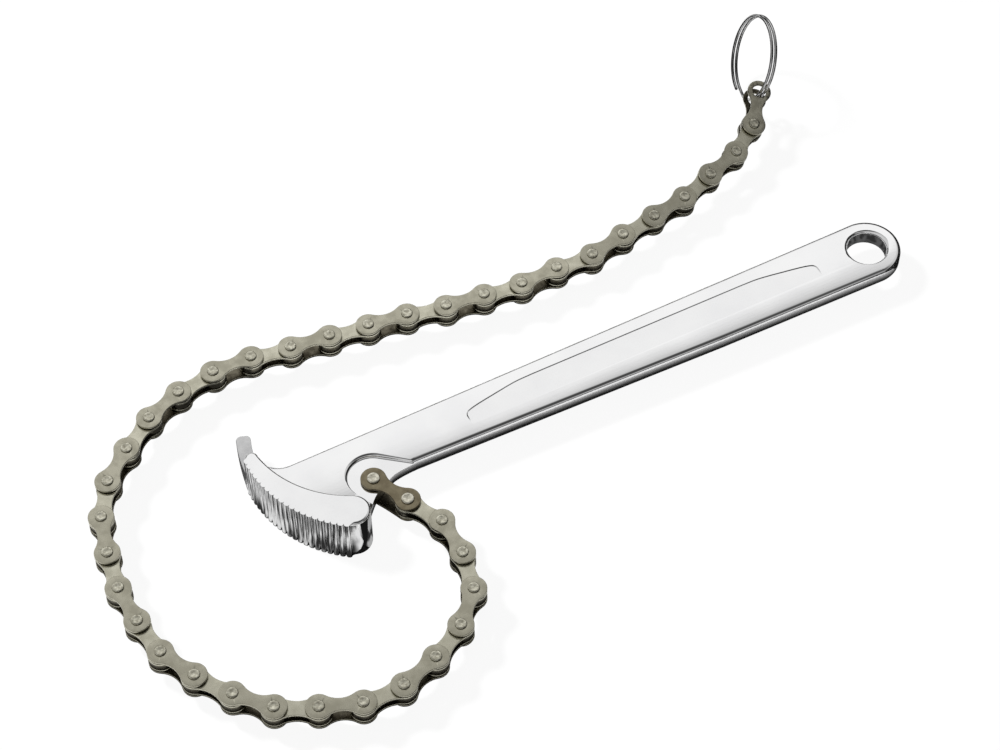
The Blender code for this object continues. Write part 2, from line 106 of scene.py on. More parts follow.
def eased_path(points: Sequence[Sequence[float]], per_span: int) -> list[Point]:
    """Draw a smooth path through points.

    Args:
        points: The points to pass through.
        per_span: Steps between two neighbouring points.

    Returns:
        Points along the path, both ends included.
    """
    path = [Vector(point) for point in points]
    padded = [2 * path[0] - path[1], *path, 2 * path[-1] - path[-2]]
    drawn = []
    for before, start, end, after in zip(padded, padded[1:], padded[2:], padded[3:]):
        for step in range(per_span):
            t = step / per_span
            bend = start * 2 + (end - before) * t
            bend += (before * 2 - start * 5 + end * 4 - after) * t**2
            bend += (start * 3 - before - end * 3 + after) * t**3
            drawn.append(tuple(bend / 2))
    return [*drawn, tuple(path[-1])]


class Outline:
    """A flat closed outline, drawn with extrude and spin operators and then raised into a solid."""

    def __init__(self, start: Sequence[float]) -> None:
        """Put the pen down at the first point."""
        self.shape = bmesh.new()
        self.pen = bmesh.ops.create_vert(self.shape, co=(start[0], start[1], 0.0))["vert"][0]
        self.pierced = False

    def line_to(self, *points: Sequence[float]) -> "Outline":
        """Draw straight lines.

        Args:
            points: The points to pass, in order.

        Returns:
            The outline itself.
        """
        for point in points:
            grown = bmesh.ops.extrude_vert_indiv(self.shape, verts=[self.pen])
            self.pen = grown["verts"][0]
            self.pen.co = (point[0], point[1], 0.0)
        return self

    def turn_about(self, centre: Sequence[float], degrees: float, steps: int) -> "Outline":
        """Draw an arc.

        Args:
            centre: Centre of the arc.
            degrees: Angle that it covers, counterclockwise when positive.
            steps: Number of straight pieces in it.

        Returns:
            The outline itself.
        """
        spun = bmesh.ops.spin(
            self.shape, geom=[self.pen], cent=(centre[0], centre[1], 0.0), axis=UP,
            angle=math.radians(degrees), steps=steps, use_merge=False, use_duplicate=False,
        )
        self.pen = next(item for item in spun["geom_last"] if isinstance(item, BMVert))
        return self

    def close(self) -> "Outline":
        """Join the last point to the first."""
        self.shape.verts.ensure_lookup_table()
        first = self.shape.verts[0]
        if (self.pen.co - first.co).length > TINY:
            bmesh.ops.contextual_create(self.shape, geom=[self.pen, first])
        bmesh.ops.remove_doubles(self.shape, verts=self.shape.verts, dist=TINY)
        return self

    def hole(self, centre: Sequence[float], radius: float, steps: int) -> "Outline":
        """Add a round hole inside the outline.

        Args:
            centre: Centre of the hole.
            radius: Its radius.
            steps: Number of straight pieces round it.

        Returns:
            The outline itself.
        """
        place = Matrix.Translation((centre[0], centre[1], 0.0))
        bmesh.ops.create_circle(self.shape, segments=steps, radius=radius, matrix=place)
        self.pierced = True
        return self

    def fill(self) -> BMesh:
        """Fill the closed outline with one face."""
        bmesh.ops.contextual_create(self.shape, geom=self.shape.edges[:])
        return self.shape

    def raise_solid(self, low: float, high: float) -> BMesh:
        """Fill the outline and raise it between two heights.

        Args:
            low: Height of the lower face.
            high: Height of the upper face.

        Returns:
            The closed solid.
        """
        if self.pierced:
            bmesh.ops.triangle_fill(
                self.shape, use_beauty=True, use_dissolve=False, edges=self.shape.edges, normal=UP
            )
        else:
            self.fill()
        bmesh.ops.translate(self.shape, vec=UP * low, verts=self.shape.verts)
        grown = bmesh.ops.extrude_face_region(self.shape, geom=self.shape.faces[:])
        lifted = [item for item in grown["geom"] if isinstance(item, BMVert)]
        bmesh.ops.translate(self.shape, vec=UP * (high - low), verts=lifted)
        bmesh.ops.recalc_face_normals(self.shape, faces=self.shape.faces)
        return self.shape


def round_edges(
    shape: BMesh, edges: Iterable[BMEdge], radius: float, segments: int,
    limited: bool = True,
) -> None:
    """Round some edges of a solid.

    Args:
        shape: The solid.
        edges: Edges to round.
        radius: Width of the rounding.
        segments: Facets across it.
        limited: Whether short edges beside them may narrow the rounding.
    """
    bmesh.ops.bevel(
        shape, geom=list(edges), offset=radius, offset_type="OFFSET", segments=segments,
        profile=0.5, affect="EDGES", material=-1, clamp_overlap=limited, loop_slide=True,
    )


def is_level(edge: BMEdge) -> bool:
    """Tell whether an edge lies level."""
    return abs(edge.verts[0].co.z - edge.verts[1].co.z) < TINY


def sharp_edges(shape: BMesh, degrees: float = 60.0) -> list[BMEdge]:
    """List the edges whose faces meet at more than an angle."""
    limit = math.radians(degrees)
    return [edge for edge in shape.edges if edge.calc_face_angle(0.0) > limit]


def turned(profile: Sequence[Sequence[float]], steps: int, closed: bool) -> BMesh:
    """Turn a profile about the Z axis, as on a lathe.

    Args:
        profile: Radius and height of each point.
        steps: Facets round the axis.
        closed: Whether the profile is a ring that misses the axis.

    Returns:
        The closed solid.
    """
    outline = Outline((profile[0][0], 0.0))
    outline.pen.co = (profile[0][0], 0.0, profile[0][1])
    for radius, height in profile[1:]:
        outline.line_to((radius, 0.0))
        outline.pen.co.z = height
    shape = outline.shape
    if closed:
        shape.verts.ensure_lookup_table()
        bmesh.ops.contextual_create(shape, geom=[outline.pen, shape.verts[0]])
    bmesh.ops.spin(
        shape, geom=shape.verts[:] + shape.edges[:], cent=(0.0, 0.0, 0.0), axis=UP,
        angle=math.tau, steps=steps, use_merge=True, use_duplicate=False,
    )
    bmesh.ops.remove_doubles(shape, verts=shape.verts, dist=TINY)
    bmesh.ops.recalc_face_normals(shape, faces=shape.faces)
    return shape


def to_mesh(name: str, shapes: Iterable[BMesh]) -> bpy.types.Mesh:
    """Put solids together in one mesh.

    Args:
        name: Name of the mesh.
        shapes: Solids, which are freed.

    Returns:
        The mesh, shaded smooth.
    """
    whole = bmesh.new()
    for shape in shapes:
        part = bpy.data.meshes.new("part")
        shape.to_mesh(part)
        shape.free()
        whole.from_mesh(part)
        bpy.data.meshes.remove(part)
    mesh = bpy.data.meshes.new(name)
    whole.to_mesh(mesh)
    whole.free()
    mesh.shade_smooth()
    return mesh


def moved(shape: BMesh, x: float = 0.0, y: float = 0.0, z: float = 0.0) -> BMesh:
    """Shift a solid and hand it back."""
    bmesh.ops.translate(shape, vec=(x, y, z), verts=shape.verts)
    return shape


def flipped(shape: BMesh) -> BMesh:
    """Mirror a solid in the middle plane of the tool, faces still outward."""
    bmesh.ops.scale(shape, vec=(1.0, 1.0, -1.0), verts=shape.verts)
    bmesh.ops.recalc_face_normals(shape, faces=shape.faces)
    return shape


def add_object(name: str, data: bpy.types.ID) -> bpy.types.Object:
    """Put a new object in the scene."""
    made = bpy.data.objects.new(name, data)
    bpy.context.scene.collection.objects.link(made)
    return made


def gray(value: float) -> Quad:
    """Give the colour input for a gray."""
    return value, value, value, 1.0


class Wiring:
    """Adds nodes to a tree and joins them."""

    def __init__(self, tree: bpy.types.NodeTree) -> None:
        """Keep the tree."""
        self.tree = tree

    def node(
        self, kind: str, settings: dict[str, Any] | None = None, **inputs: Any
    ) -> bpy.types.Node:
        """Add a node.

        Args:
            kind: Blender's type name of the node.
            settings: Properties to set on it.
            inputs: Values or output sockets by input name, with _ for a space.

        Returns:
            The new node.
        """
        made = self.tree.nodes.new(kind)
        for name, value in (settings or {}).items():
            setattr(made, name, value)
        for name, value in inputs.items():
            key = int(name[1:]) if name[1:].isdigit() else name.replace("_", " ")
            socket = made.inputs[key]
            if isinstance(value, Socket):
                self.tree.links.new(value, socket)
            else:
                socket.default_value = value
        return made

    def combine(self, operation: str, first: Any, second: Any) -> Socket:
        """Add a step of arithmetic on two values."""
        return self.node("ShaderNodeMath", {"operation": operation}, _0=first, _1=second).outputs[0]

    def mix_shader(self, share: Socket, first: Socket, second: Socket) -> Socket:
        """Add a blend from one surface to another."""
        return self.node("ShaderNodeMixShader", _0=share, _1=first, _2=second).outputs[0]


def blank_material(name: str) -> tuple[bpy.types.Material, Wiring]:
    """Make a material without nodes, and the wiring for it."""
    made = bpy.data.materials.new(name)
    made.use_nodes = True
    made.node_tree.nodes.clear()
    return made, Wiring(made.node_tree)


class EffectGroups:
    """Node groups that several finishes share."""

    def __init__(self) -> None:
        """Build the groups once."""
        self.mottle = self.noise_group("mottle", 3.0, 0.55, 0.36, 0.66)
        self.ripple = self.noise_group("ripple", 1.0, 0.5, 0.0, 1.0)
        self.grain = self.noise_group("grain", 5.0, 0.7, 0.0, 1.0)

    def noise_group(
        self, name: str, detail: float, rough: float, low: float, high: float
    ) -> bpy.types.NodeTree:
        """Build a group that puts out noise between 0 and 1.

        Args:
            name: Name of the group.
            detail: Number of octaves.
            rough: How strong the finer octaves are.
            low: Noise value that becomes 0.
            high: Noise value that becomes 1.

        Returns:
            The group.
        """
        group = bpy.data.node_groups.new(name, "ShaderNodeTree")
        for socket, way, kind in (
            ("Vector", "INPUT", "Vector"), ("Scale", "INPUT", "Float"),
            ("Value", "OUTPUT", "Float"),
        ):
            group.interface.new_socket(socket, in_out=way, socket_type=f"NodeSocket{kind}")
        wiring = Wiring(group)
        given = wiring.node("NodeGroupInput")
        noise = wiring.node(
            "ShaderNodeTexNoise", {"noise_dimensions": "3D"}, Vector=given.outputs["Vector"],
            Scale=given.outputs["Scale"], Detail=detail, Roughness=rough,
        )
        spread = wiring.node(
            "ShaderNodeMapRange", {"clamp": True}, Value=noise.outputs[0], From_Min=low,
            From_Max=high,
        )
        wiring.node("NodeGroupOutput", Value=spread.outputs[0])
        return group

    def place(
        self, wiring: Wiring, group: bpy.types.NodeTree, vector: Socket, scale: float
    ) -> Socket:
        """Use a group in a material.

        Args:
            wiring: The material's tree.
            group: The group.
            vector: Coordinates to read.
            scale: Size of the pattern, in repeats a metre.

        Returns:
            The group's value.
        """
        placed = wiring.node("ShaderNodeGroup", {"node_tree": group}, Vector=vector, Scale=scale)
        return placed.outputs[0]


@dataclass(frozen=True)
class MetalFinish:
    """A metal surface: its colours, its polish and the unevenness left by its making."""

    name: str
    colour: Triple
    dull_colour: Triple
    roughness: float
    dull_roughness: float
    mottle_scale: float
    ripple_scale: float
    ripple_depth: float
    grain_scale: float
    grain_depth: float

    def material(self, groups: EffectGroups) -> bpy.types.Material:
        """Build the material.

        Args:
            groups: The shared effects.

        Returns:
            The material.
        """
        made = bpy.data.materials.new(self.name)
        made.use_nodes = True
        wiring = Wiring(made.node_tree)
        shader = made.node_tree.nodes["Principled BSDF"]
        shader.inputs["Metallic"].default_value = 1.0
        place = wiring.node("ShaderNodeTexCoord").outputs["Object"]
        blotch = groups.place(wiring, groups.mottle, place, self.mottle_scale)
        colour = wiring.node(
            "ShaderNodeMix", {"data_type": "RGBA"}, Factor=blotch,
            _6=(*self.colour, 1.0), _7=(*self.dull_colour, 1.0),
        )
        polish = wiring.node(
            "ShaderNodeMapRange", Value=blotch, To_Min=self.roughness,
            To_Max=self.dull_roughness,
        )
        ripple = wiring.node(
            "ShaderNodeBump", Distance=self.ripple_depth, Strength=1.0,
            Height=groups.place(wiring, groups.ripple, place, self.ripple_scale),
        )
        grain = wiring.node(
            "ShaderNodeBump", Distance=self.grain_depth, Strength=1.0,
            Normal=ripple.outputs[0],
            Height=groups.place(wiring, groups.grain, place, self.grain_scale),
        )
        links = made.node_tree.links
        links.new(colour.outputs[2], shader.inputs["Base Color"])
        links.new(polish.outputs[0], shader.inputs["Roughness"])
        links.new(grain.outputs[0], shader.inputs["Normal"])
        return made


CHROME = MetalFinish(
    "polished_chrome_plate", (0.90, 0.90, 0.90), (0.865, 0.865, 0.87), 0.05, 0.10,
    60.0, 45.0, 0.00012, 900.0, 0.000004,
)
TOOTH_CHROME = MetalFinish(
    "tooth_chrome_plate", (0.90, 0.90, 0.90), (0.76, 0.76, 0.76), 0.08, 0.18,
    400.0, 300.0, 0.00004, 1500.0, 0.00001,
)
# Painted shade: a slightly darker copy of the forging's chrome for the recessed panel.
PANEL_CHROME_PAINTED_SHADE = MetalFinish(
    "panel_chrome_painted_shade", (0.86, 0.86, 0.86), (0.835, 0.835, 0.84), 0.08, 0.14,
    60.0, 45.0, 0.00012, 900.0, 0.000004,
)
OUTER_NICKEL = MetalFinish(
    "outer_plate_nickel", (0.500, 0.480, 0.385), (0.440, 0.420, 0.330), 0.22, 0.34,
    300.0, 200.0, 0.00002, 2500.0, 0.000006,
)
INNER_NICKEL = MetalFinish(
    "inner_plate_nickel", (0.63, 0.61, 0.495), (0.55, 0.53, 0.420), 0.20, 0.32,
    300.0, 200.0, 0.00002, 2500.0, 0.000006,
)
PIN_STEEL = MetalFinish(
    "pin_end_steel", (0.68, 0.66, 0.545), (0.38, 0.360, 0.280), 0.18, 0.34,
    1200.0, 900.0, 0.00005, 3000.0, 0.00001,
)
# Painted shade: rollers and bushings darkened, standing in for the shade between the plates.
ROLLER_PAINTED_SHADE = MetalFinish(
    "roller_steel_painted_shade", (0.20, 0.185, 0.140), (0.09, 0.080, 0.055), 0.20, 0.36,
    500.0, 200.0, 0.00002, 2500.0, 0.000006,
)
# Painted shade: a dark finish for the plate faces that face the middle plane, standing in for the
# shade between the plates.
INNER_FACE_PAINTED_SHADE = MetalFinish(
    "inner_face_painted_shade", (0.17, 0.155, 0.115), (0.08, 0.070, 0.050), 0.22, 0.40,
    400.0, 200.0, 0.00002, 2500.0, 0.000008,
)
# Painted shade: a darker copy of the forging's chrome for the horn, which sits lower and tilted.
HORN_CHROME_PAINTED_SHADE = MetalFinish(
    "horn_chrome_painted_shade", (0.61, 0.61, 0.61), (0.54, 0.54, 0.545), 0.16, 0.26,
    200.0, 120.0, 0.00004, 1200.0, 0.00001,
)
DARK_OXIDE = MetalFinish(
    "anchor_plate_oxide", (0.270, 0.235, 0.158), (0.225, 0.190, 0.125), 0.28, 0.40,
    350.0, 200.0, 0.00002, 2500.0, 0.000008,
)
BRIGHT_STEEL = MetalFinish(
    "rivet_head_steel", (0.74, 0.71, 0.60), (0.46, 0.44, 0.36), 0.14, 0.28,
    1100.0, 800.0, 0.00008, 3000.0, 0.00001,
)
RING_CHROME = MetalFinish(
    "ring_wire_chrome", (0.60, 0.60, 0.60), (0.46, 0.46, 0.46), 0.04, 0.09,
    200.0, 100.0, 0.00001, 2000.0, 0.000002,
)


class Workshop:
    """Makes each finish once and puts finished pieces on the bodies of the frame."""

    def __init__(self) -> None:
        """Start with no material made."""
        self.groups = EffectGroups()
        self.made: dict[str, bpy.types.Material] = {}

    def finish(self, chosen: MetalFinish) -> bpy.types.Material:
        """Hand out the material of a finish."""
        if chosen.name not in self.made:
            self.made[chosen.name] = chosen.material(self.groups)
        return self.made[chosen.name]

    def piece(
        self, name: str, mesh: bpy.types.Mesh, finishes: Sequence[MetalFinish], slot: Slot,
        body: str, nodes: Sequence[str] = (), place: Matrix | None = None,
    ) -> bpy.types.Object:
        """Put a piece in the scene.

        Args:
            name: Name of the piece.
            mesh: Its mesh, which is copied.
            finishes: Its finishes in the order of the mesh's material numbers.
            slot: The record's slot for the piece; not used.
            body: The body that it rides on.
            nodes: The solids that it stands for.
            place: Where it goes, if the mesh isn't in place yet.

        Returns:
            The piece.
        """
        own = mesh.copy()
        own.name = name
        if place is not None:
            own.transform(place)
        while len(own.materials) < len(finishes):
            own.materials.append(None)
        for number, chosen in enumerate(finishes):
            own.materials[number] = self.finish(chosen)
        made = add_object(name, own)
        even = made.modifiers.new("even_normals", "WEIGHTED_NORMAL")
        even.weight = FULL_WEIGHT
        even.keep_sharp = True
        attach(made, body)
        if nodes:
            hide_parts(*nodes)
        log.info("%s rides on %s", name, body)
        return made


@dataclass(frozen=True)
class ChainSizes:
    """Sizes that the links share. Heights count from the middle plane of the chain."""

    pitch: float = 0.0127
    end_radius: float = 0.00395
    thickness: float = 0.00085
    outer_waist: float = 0.0040
    inner_waist: float = 0.0046
    straight_waist: float = 0.0074
    inner_face: float = 0.0012
    side_gap: float = 0.0003
    pin_radius: float = 0.00165
    pin_clearance: float = 0.00025
    press_fit: float = 0.00002
    pin_proud: float = 0.00045
    pin_head_radius: float = 0.0018
    pin_head_steps: int = 11
    peen: Points = ((0.0, 0.07 * MM), (0.45, 0.06 * MM), (0.68, 0.0))
    peen_dip: float = 0.02 * MM
    peen_edge: float = 0.18 * MM
    peen_corner: Point = (0.3, 0.35)
    bushing_radius: float = 0.0023
    roller_radius: float = 0.00375
    roller_end_gap: float = 0.0003
    rivet_radius: float = 0.00195
    rivet_head: float = 0.0005
    ring_hole_radius: float = 0.00235
    rim: float = 0.00016
    rim_segments: int = 2
    end_steps: int = 26
    hollow_steps: int = 9
    round_steps: int = 28

    @property
    def outer_face(self) -> float:
        """Height of the inner side of an outer plate."""
        return self.inner_face + self.thickness + self.side_gap

    @property
    def outer_top(self) -> float:
        """Height of the outer side of an outer plate."""
        return self.outer_face + self.thickness

    @property
    def pin_holes(self) -> Point:
        """Radius of each hole of an outer plate."""
        return (self.pin_radius + self.press_fit,) * 2

    @property
    def bushing_holes(self) -> Point:
        """Radius of each hole of an inner plate."""
        return (self.bushing_radius - self.rim,) * 2


@dataclass
class ChainLayout:
    """Where each link lies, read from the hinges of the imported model."""

    joints: Sequence[dict[str, Any]]
    last: int = 38

    def hinge(self, index: int) -> dict[str, Any]:
        """Find the hinge at the near end of a link, or the ring's for one past the last."""
        wanted = f"chain_hinge_{index:02d}" if index <= self.last else "ring_swivel"
        return next(joint for joint in self.joints if joint["name"] == wanted)

    def upright(self, index: int) -> Vector:
        """Direction of a hinge's pin, pointing up."""
        axis = Vector(self.hinge(index)["axis"])
        return axis if axis.z > 0 else -axis

    def place(self, index: int) -> Matrix:
        """Find where a link lies.

        Args:
            index: Number of the link from the anchor link, which is 0.

        Returns:
            The matrix that puts a link, drawn from its near pin along +X, in place.
        """
        start = Vector(self.hinge(index)["pos_m"])
        along = (Vector(self.hinge(index + 1)["pos_m"]) - start).normalized()
        up = self.upright(index) + self.upright(index + 1) if index % 2 else self.upright(index)
        across = up.cross(along).normalized()
        up = along.cross(across)
        turn = Matrix((along, across, up)).transposed().to_4x4()
        return Matrix.Translation(start) @ turn


@dataclass
class RollerChain:
    """The chain: plates, pins, bushings and rollers of every link."""

    layout: ChainLayout
    workshop: Workshop
    sizes: ChainSizes

    def plate(self, waist: float, low: float, holes: Sequence[float]) -> BMesh:
        """Cut one link plate.

        Args:
            waist: Width of the plate at its middle.
            low: Height of its lower side.
            holes: Radius of the hole at each pin.

        Returns:
            The plate, its near pin at x = 0.
        """
        s = self.sizes
        half, half_waist = s.pitch / 2, waist / 2
        hollow = (half**2 + half_waist**2 - s.end_radius**2) / (2 * (s.end_radius - half_waist))
        away = half_waist + hollow
        lean = math.degrees(math.atan2(away, half))
        outline = Outline(point_on((0.0, 0.0), s.end_radius, lean))
        for x, middle in ((0.0, -away), (s.pitch, away)):
            outline.turn_about((x, 0.0), 360 - 2 * lean, s.end_steps)
            outline.turn_about((half, middle), 2 * lean - 180, s.hollow_steps)
        outline.close()
        for x, radius in zip((0.0, s.pitch), holes):
            outline.hole((x, 0.0), radius, s.round_steps)
        shape = outline.raise_solid(low, low + s.thickness)
        round_edges(shape, sharp_edges(shape), s.rim, s.rim_segments)
        # Faces towards the middle plane take the second finish, which is painted shade between the
        # plates.
        for face in shape.faces:
            face.material_index = int(face.normal.z < -0.5)
        return shape

    def chain_pin(self) -> BMesh:
        """Turn a chain pin, whose peened ends are slightly angular."""
        s = self.sizes
        top, head = s.outer_top + s.pin_proud, s.pin_proud + s.press_fit
        return self.pin(s.pin_head_radius, top, head, s.pin_head_steps)

    def pin(self, radius: float, top: float, head: float, steps: int) -> BMesh:
        """Turn a pin with peened ends.

        Args:
            radius: Radius of the part that shows.
            top: Height of its end.
            head: Height of the part that shows.
            steps: Facets round it.

        Returns:
            The pin on the Z axis.
        """
        s = self.sizes
        shank = s.pin_radius - s.pin_clearance / 2
        edge = min(head / 2, s.peen_edge)
        inward, down = s.peen_corner
        upper = [(radius * share, top - dip) for share, dip in s.peen]
        upper += [
            (radius - edge, top - s.peen_dip), (radius - inward * edge, top - down * edge),
            (radius, top - edge), (radius, top - head), (shank, top - head),
        ]
        lower = [(r, -z) for r, z in reversed(upper)]
        return turned(upper + lower, steps, False)

    def tube(self, bore: float, radius: float, half: float) -> BMesh:
        """Turn a short tube with broken edges.

        Args:
            bore: Inner radius.
            radius: Outer radius.
            half: Half its length.

        Returns:
            The tube on the Z axis.
        """
        edge = self.sizes.rim
        profile = [
            (bore, half), (radius - edge, half), (radius, half - edge), (radius, edge - half),
            (radius - edge, -half), (bore, -half),
        ]
        return turned(profile, self.sizes.round_steps, True)

    def bushing(self) -> BMesh:
        """Turn a bushing, which joins the two plates of an inner link."""
        s = self.sizes
        bore = s.pin_radius + s.pin_clearance / 2
        return self.tube(bore, s.bushing_radius, s.inner_face + s.thickness)

    def roller(self) -> BMesh:
        """Turn a roller, which runs on a bushing."""
        s = self.sizes
        bore = s.bushing_radius + s.pin_clearance / 2
        return self.tube(bore, s.roller_radius, s.inner_face - s.roller_end_gap / 3)

    def plates(self, name: str, waist: float, low: float, holes: Sequence[float]) -> bpy.types.Mesh:
        """Pair a plate with its mirror image below the middle plane."""
        pair = [self.plate(waist, low, holes), flipped(self.plate(waist, low, holes))]
        return to_mesh(name, pair)

    def build(self) -> None:
        """Build every link."""
        s = self.sizes
        ends = (0.0, s.pitch)
        outer = self.plates("outer_plates", s.outer_waist, s.outer_face, s.pin_holes)
        inner = self.plates("inner_plates", s.inner_waist, s.inner_face, s.bushing_holes)
        pins = to_mesh("pins", [moved(self.chain_pin(), x) for x in ends])
        barrels = to_mesh(
            "barrels", [moved(turn(), x) for x in ends for turn in (self.bushing, self.roller)]
        )
        kinds = (
            ("outer", outer, OUTER_NICKEL, "pins", pins, PIN_STEEL),
            ("inner", inner, INNER_NICKEL, "rollers", barrels, ROLLER_PAINTED_SHADE),
        )
        for index in range(3, self.layout.last):
            kind, plates, nickel, others, round_pieces, steel = kinds[index % 2]
            place = self.layout.place(index)
            body = f"link_{index:02d}"
            self.workshop.piece(
                f"{kind}_plates_{index:02d}", plates, [nickel, INNER_FACE_PAINTED_SHADE], Slot.CHAIN, body,
                [f"{kind}_link_{index:02d}"], place,
            )
            self.workshop.piece(
                f"{others}_{index:02d}", round_pieces, [steel], Slot.CHAIN, body, (), place
            )
        self.build_first_links()
        self.build_end_link()

    def loose_plates(
        self, label: str, nodes: str, waists: Sequence[float], low: float, holes: Sequence[float],
        finish: MetalFinish, slot: Slot, index: int,
    ) -> None:
        """Build the two plates of a link that has them as separate pieces.

        Args:
            label: Start of the pieces' names.
            nodes: Start of the solids' names.
            waists: Width at the middle of the upper and the lower plate.
            low: Height of the upper plate's lower side.
            holes: Radius of the hole at each pin.
            finish: The plates' finish.
            slot: Their slot.
            index: Number of the link.
        """
        place = self.layout.place(index)
        for side, waist in zip(Side, waists):
            shape = self.plate(waist, low, holes)
            mesh = to_mesh(label, [shape if side is Side.TOP else flipped(shape)])
            word = side.name.lower()
            self.workshop.piece(
                f"{label}_{word}", mesh, [finish, INNER_FACE_PAINTED_SHADE], slot, f"link_{index:02d}",
                [f"{nodes}_{word}"], place,
            )

    def build_first_links(self) -> None:
        """Build the anchor link and the two links after it, whose pieces are separate."""
        s = self.sizes
        self.loose_plates(
            "anchor_side_plate", "anchor_plate", (s.outer_waist, s.straight_waist), s.outer_face,
            s.pin_holes, DARK_OXIDE, Slot.ANCHOR, 0,
        )
        self.loose_plates(
            "first_inner_plate", "inner_link_01_plate", (s.inner_waist, s.inner_waist),
            s.inner_face, s.bushing_holes, INNER_NICKEL, Slot.CHAIN, 1,
        )
        self.loose_plates(
            "first_outer_plate", "outer_link_02_plate", (s.outer_waist, s.outer_waist),
            s.outer_face, s.pin_holes, OUTER_NICKEL, Slot.CHAIN, 2,
        )
        top = s.outer_top + s.rivet_head
        rivet = to_mesh("rivet", [self.pin(s.rivet_radius, top, s.rivet_head, s.round_steps)])
        bushing = to_mesh("bushing", [self.bushing()])
        roller = to_mesh("roller", [self.roller()])
        pin = to_mesh("pin", [self.chain_pin()])
        near, far = Matrix.Identity(4), Matrix.Translation((s.pitch, 0.0, 0.0))
        for node, end in (("anchor_rivet", near), ("first_link_rivet", far)):
            self.workshop.piece(
                f"{node}_bright", rivet, [BRIGHT_STEEL], Slot.RIVET, "link_00", [node],
                self.layout.place(0) @ end,
            )
        for letter, end in (("a", near), ("b", far)):
            for kind, mesh, steel, body, node, index in (
                ("bushing", bushing, ROLLER_PAINTED_SHADE, "link_01", "bushing", 1),
                ("roller", roller, ROLLER_PAINTED_SHADE, f"roller_{letter}", "roller", 1),
                ("pin", pin, PIN_STEEL, "link_02", "chain_pin", 2),
            ):
                self.workshop.piece(
                    f"first_{kind}_{letter}", mesh, [steel], Slot.CHAIN, body,
                    [f"{node}_{letter}"], self.layout.place(index) @ end,
                )

    def build_end_link(self) -> None:
        """Build the link that carries the pull ring."""
        s = self.sizes
        index = self.layout.last
        self.loose_plates(
            "ring_link_plate", "end_plate", (s.outer_waist, s.outer_waist), s.outer_face,
            (s.pin_holes[0], s.ring_hole_radius), OUTER_NICKEL, Slot.CHAIN, index,
        )
        self.workshop.piece(
            "ring_link_pin", to_mesh("pin", [self.chain_pin()]), [PIN_STEEL], Slot.CHAIN,
            f"link_{index:02d}", ["end_rivet"], self.layout.place(index),
        )


@dataclass
class PullRing:
    """A split ring: two turns of one wire with a crossover between them."""

    layout: ChainLayout
    workshop: Workshop
    radius: float = 0.0140
    wire: float = 0.0010
    spacing: float = 0.00143
    cut_angle: float = -40.5
    crossover: float = 22.5
    swing: float = 16.0
    lean: float = -7.0
    tilt: float = 10.0
    shift: float = -0.0006
    side_shift: float = -0.0002
    pitch: float = 0.0127
    steps: int = 150
    wire_detail: int = 4

    def place(self) -> Matrix:
        """Where the ring hangs in the hole of the last link."""
        swing, lean, tilt = (
            Matrix.Rotation(math.radians(angle), 4, axis)
            for angle, axis in ((self.swing, "Z"), (self.lean, "Y"), (self.tilt, "X"))
        )
        inside = Matrix.Translation((self.shift, self.side_shift, 0.0)) @ (lean @ tilt)
        link = self.layout.place(self.layout.last)
        return link @ Matrix.Translation((self.pitch, 0.0, 0.0)) @ swing @ inside

    def middle(self) -> Vector:
        """Middle of the ring."""
        return self.place() @ Vector((self.radius, 0.0, 0.0))

    def centre_line(self) -> list[Vector]:
        """Points along the middle of the wire, from one cut end to the other."""
        total = 720 - 2 * self.crossover
        points = []
        for step in range(self.steps + 1):
            run = self.crossover + total * step / self.steps
            crossed = min(1.0, max(0.0, (run - 360 + self.crossover) / (2 * self.crossover)))
            aside = self.spacing * (crossed * crossed * (3 - 2 * crossed) - 0.5)
            turn = math.radians(run + self.cut_angle)
            along, up = self.radius * (1 - math.cos(turn)), self.radius * math.sin(turn)
            points.append(Vector((along, aside, up)))
        return points

    def build(self) -> None:
        """Build the ring as one bevelled curve."""
        place = self.place()
        points = [place @ point for point in self.centre_line()]
        curve = bpy.data.curves.new("split_ring", "CURVE")
        curve.dimensions = "3D"
        spline = curve.splines.new("POLY")
        spline.points.add(len(points) - 1)
        for spot, point in zip(spline.points, points):
            spot.co = (*point, 1.0)
        spline.use_smooth = True
        curve.bevel_depth = self.wire / 2
        curve.bevel_resolution = self.wire_detail
        curve.use_fill_caps = True
        curve.materials.append(self.workshop.finish(RING_CHROME))
        ring = add_object("split_ring", curve)
        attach(ring, "pull_ring")
        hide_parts("pull_ring")
        log.info("split_ring rides on pull_ring")


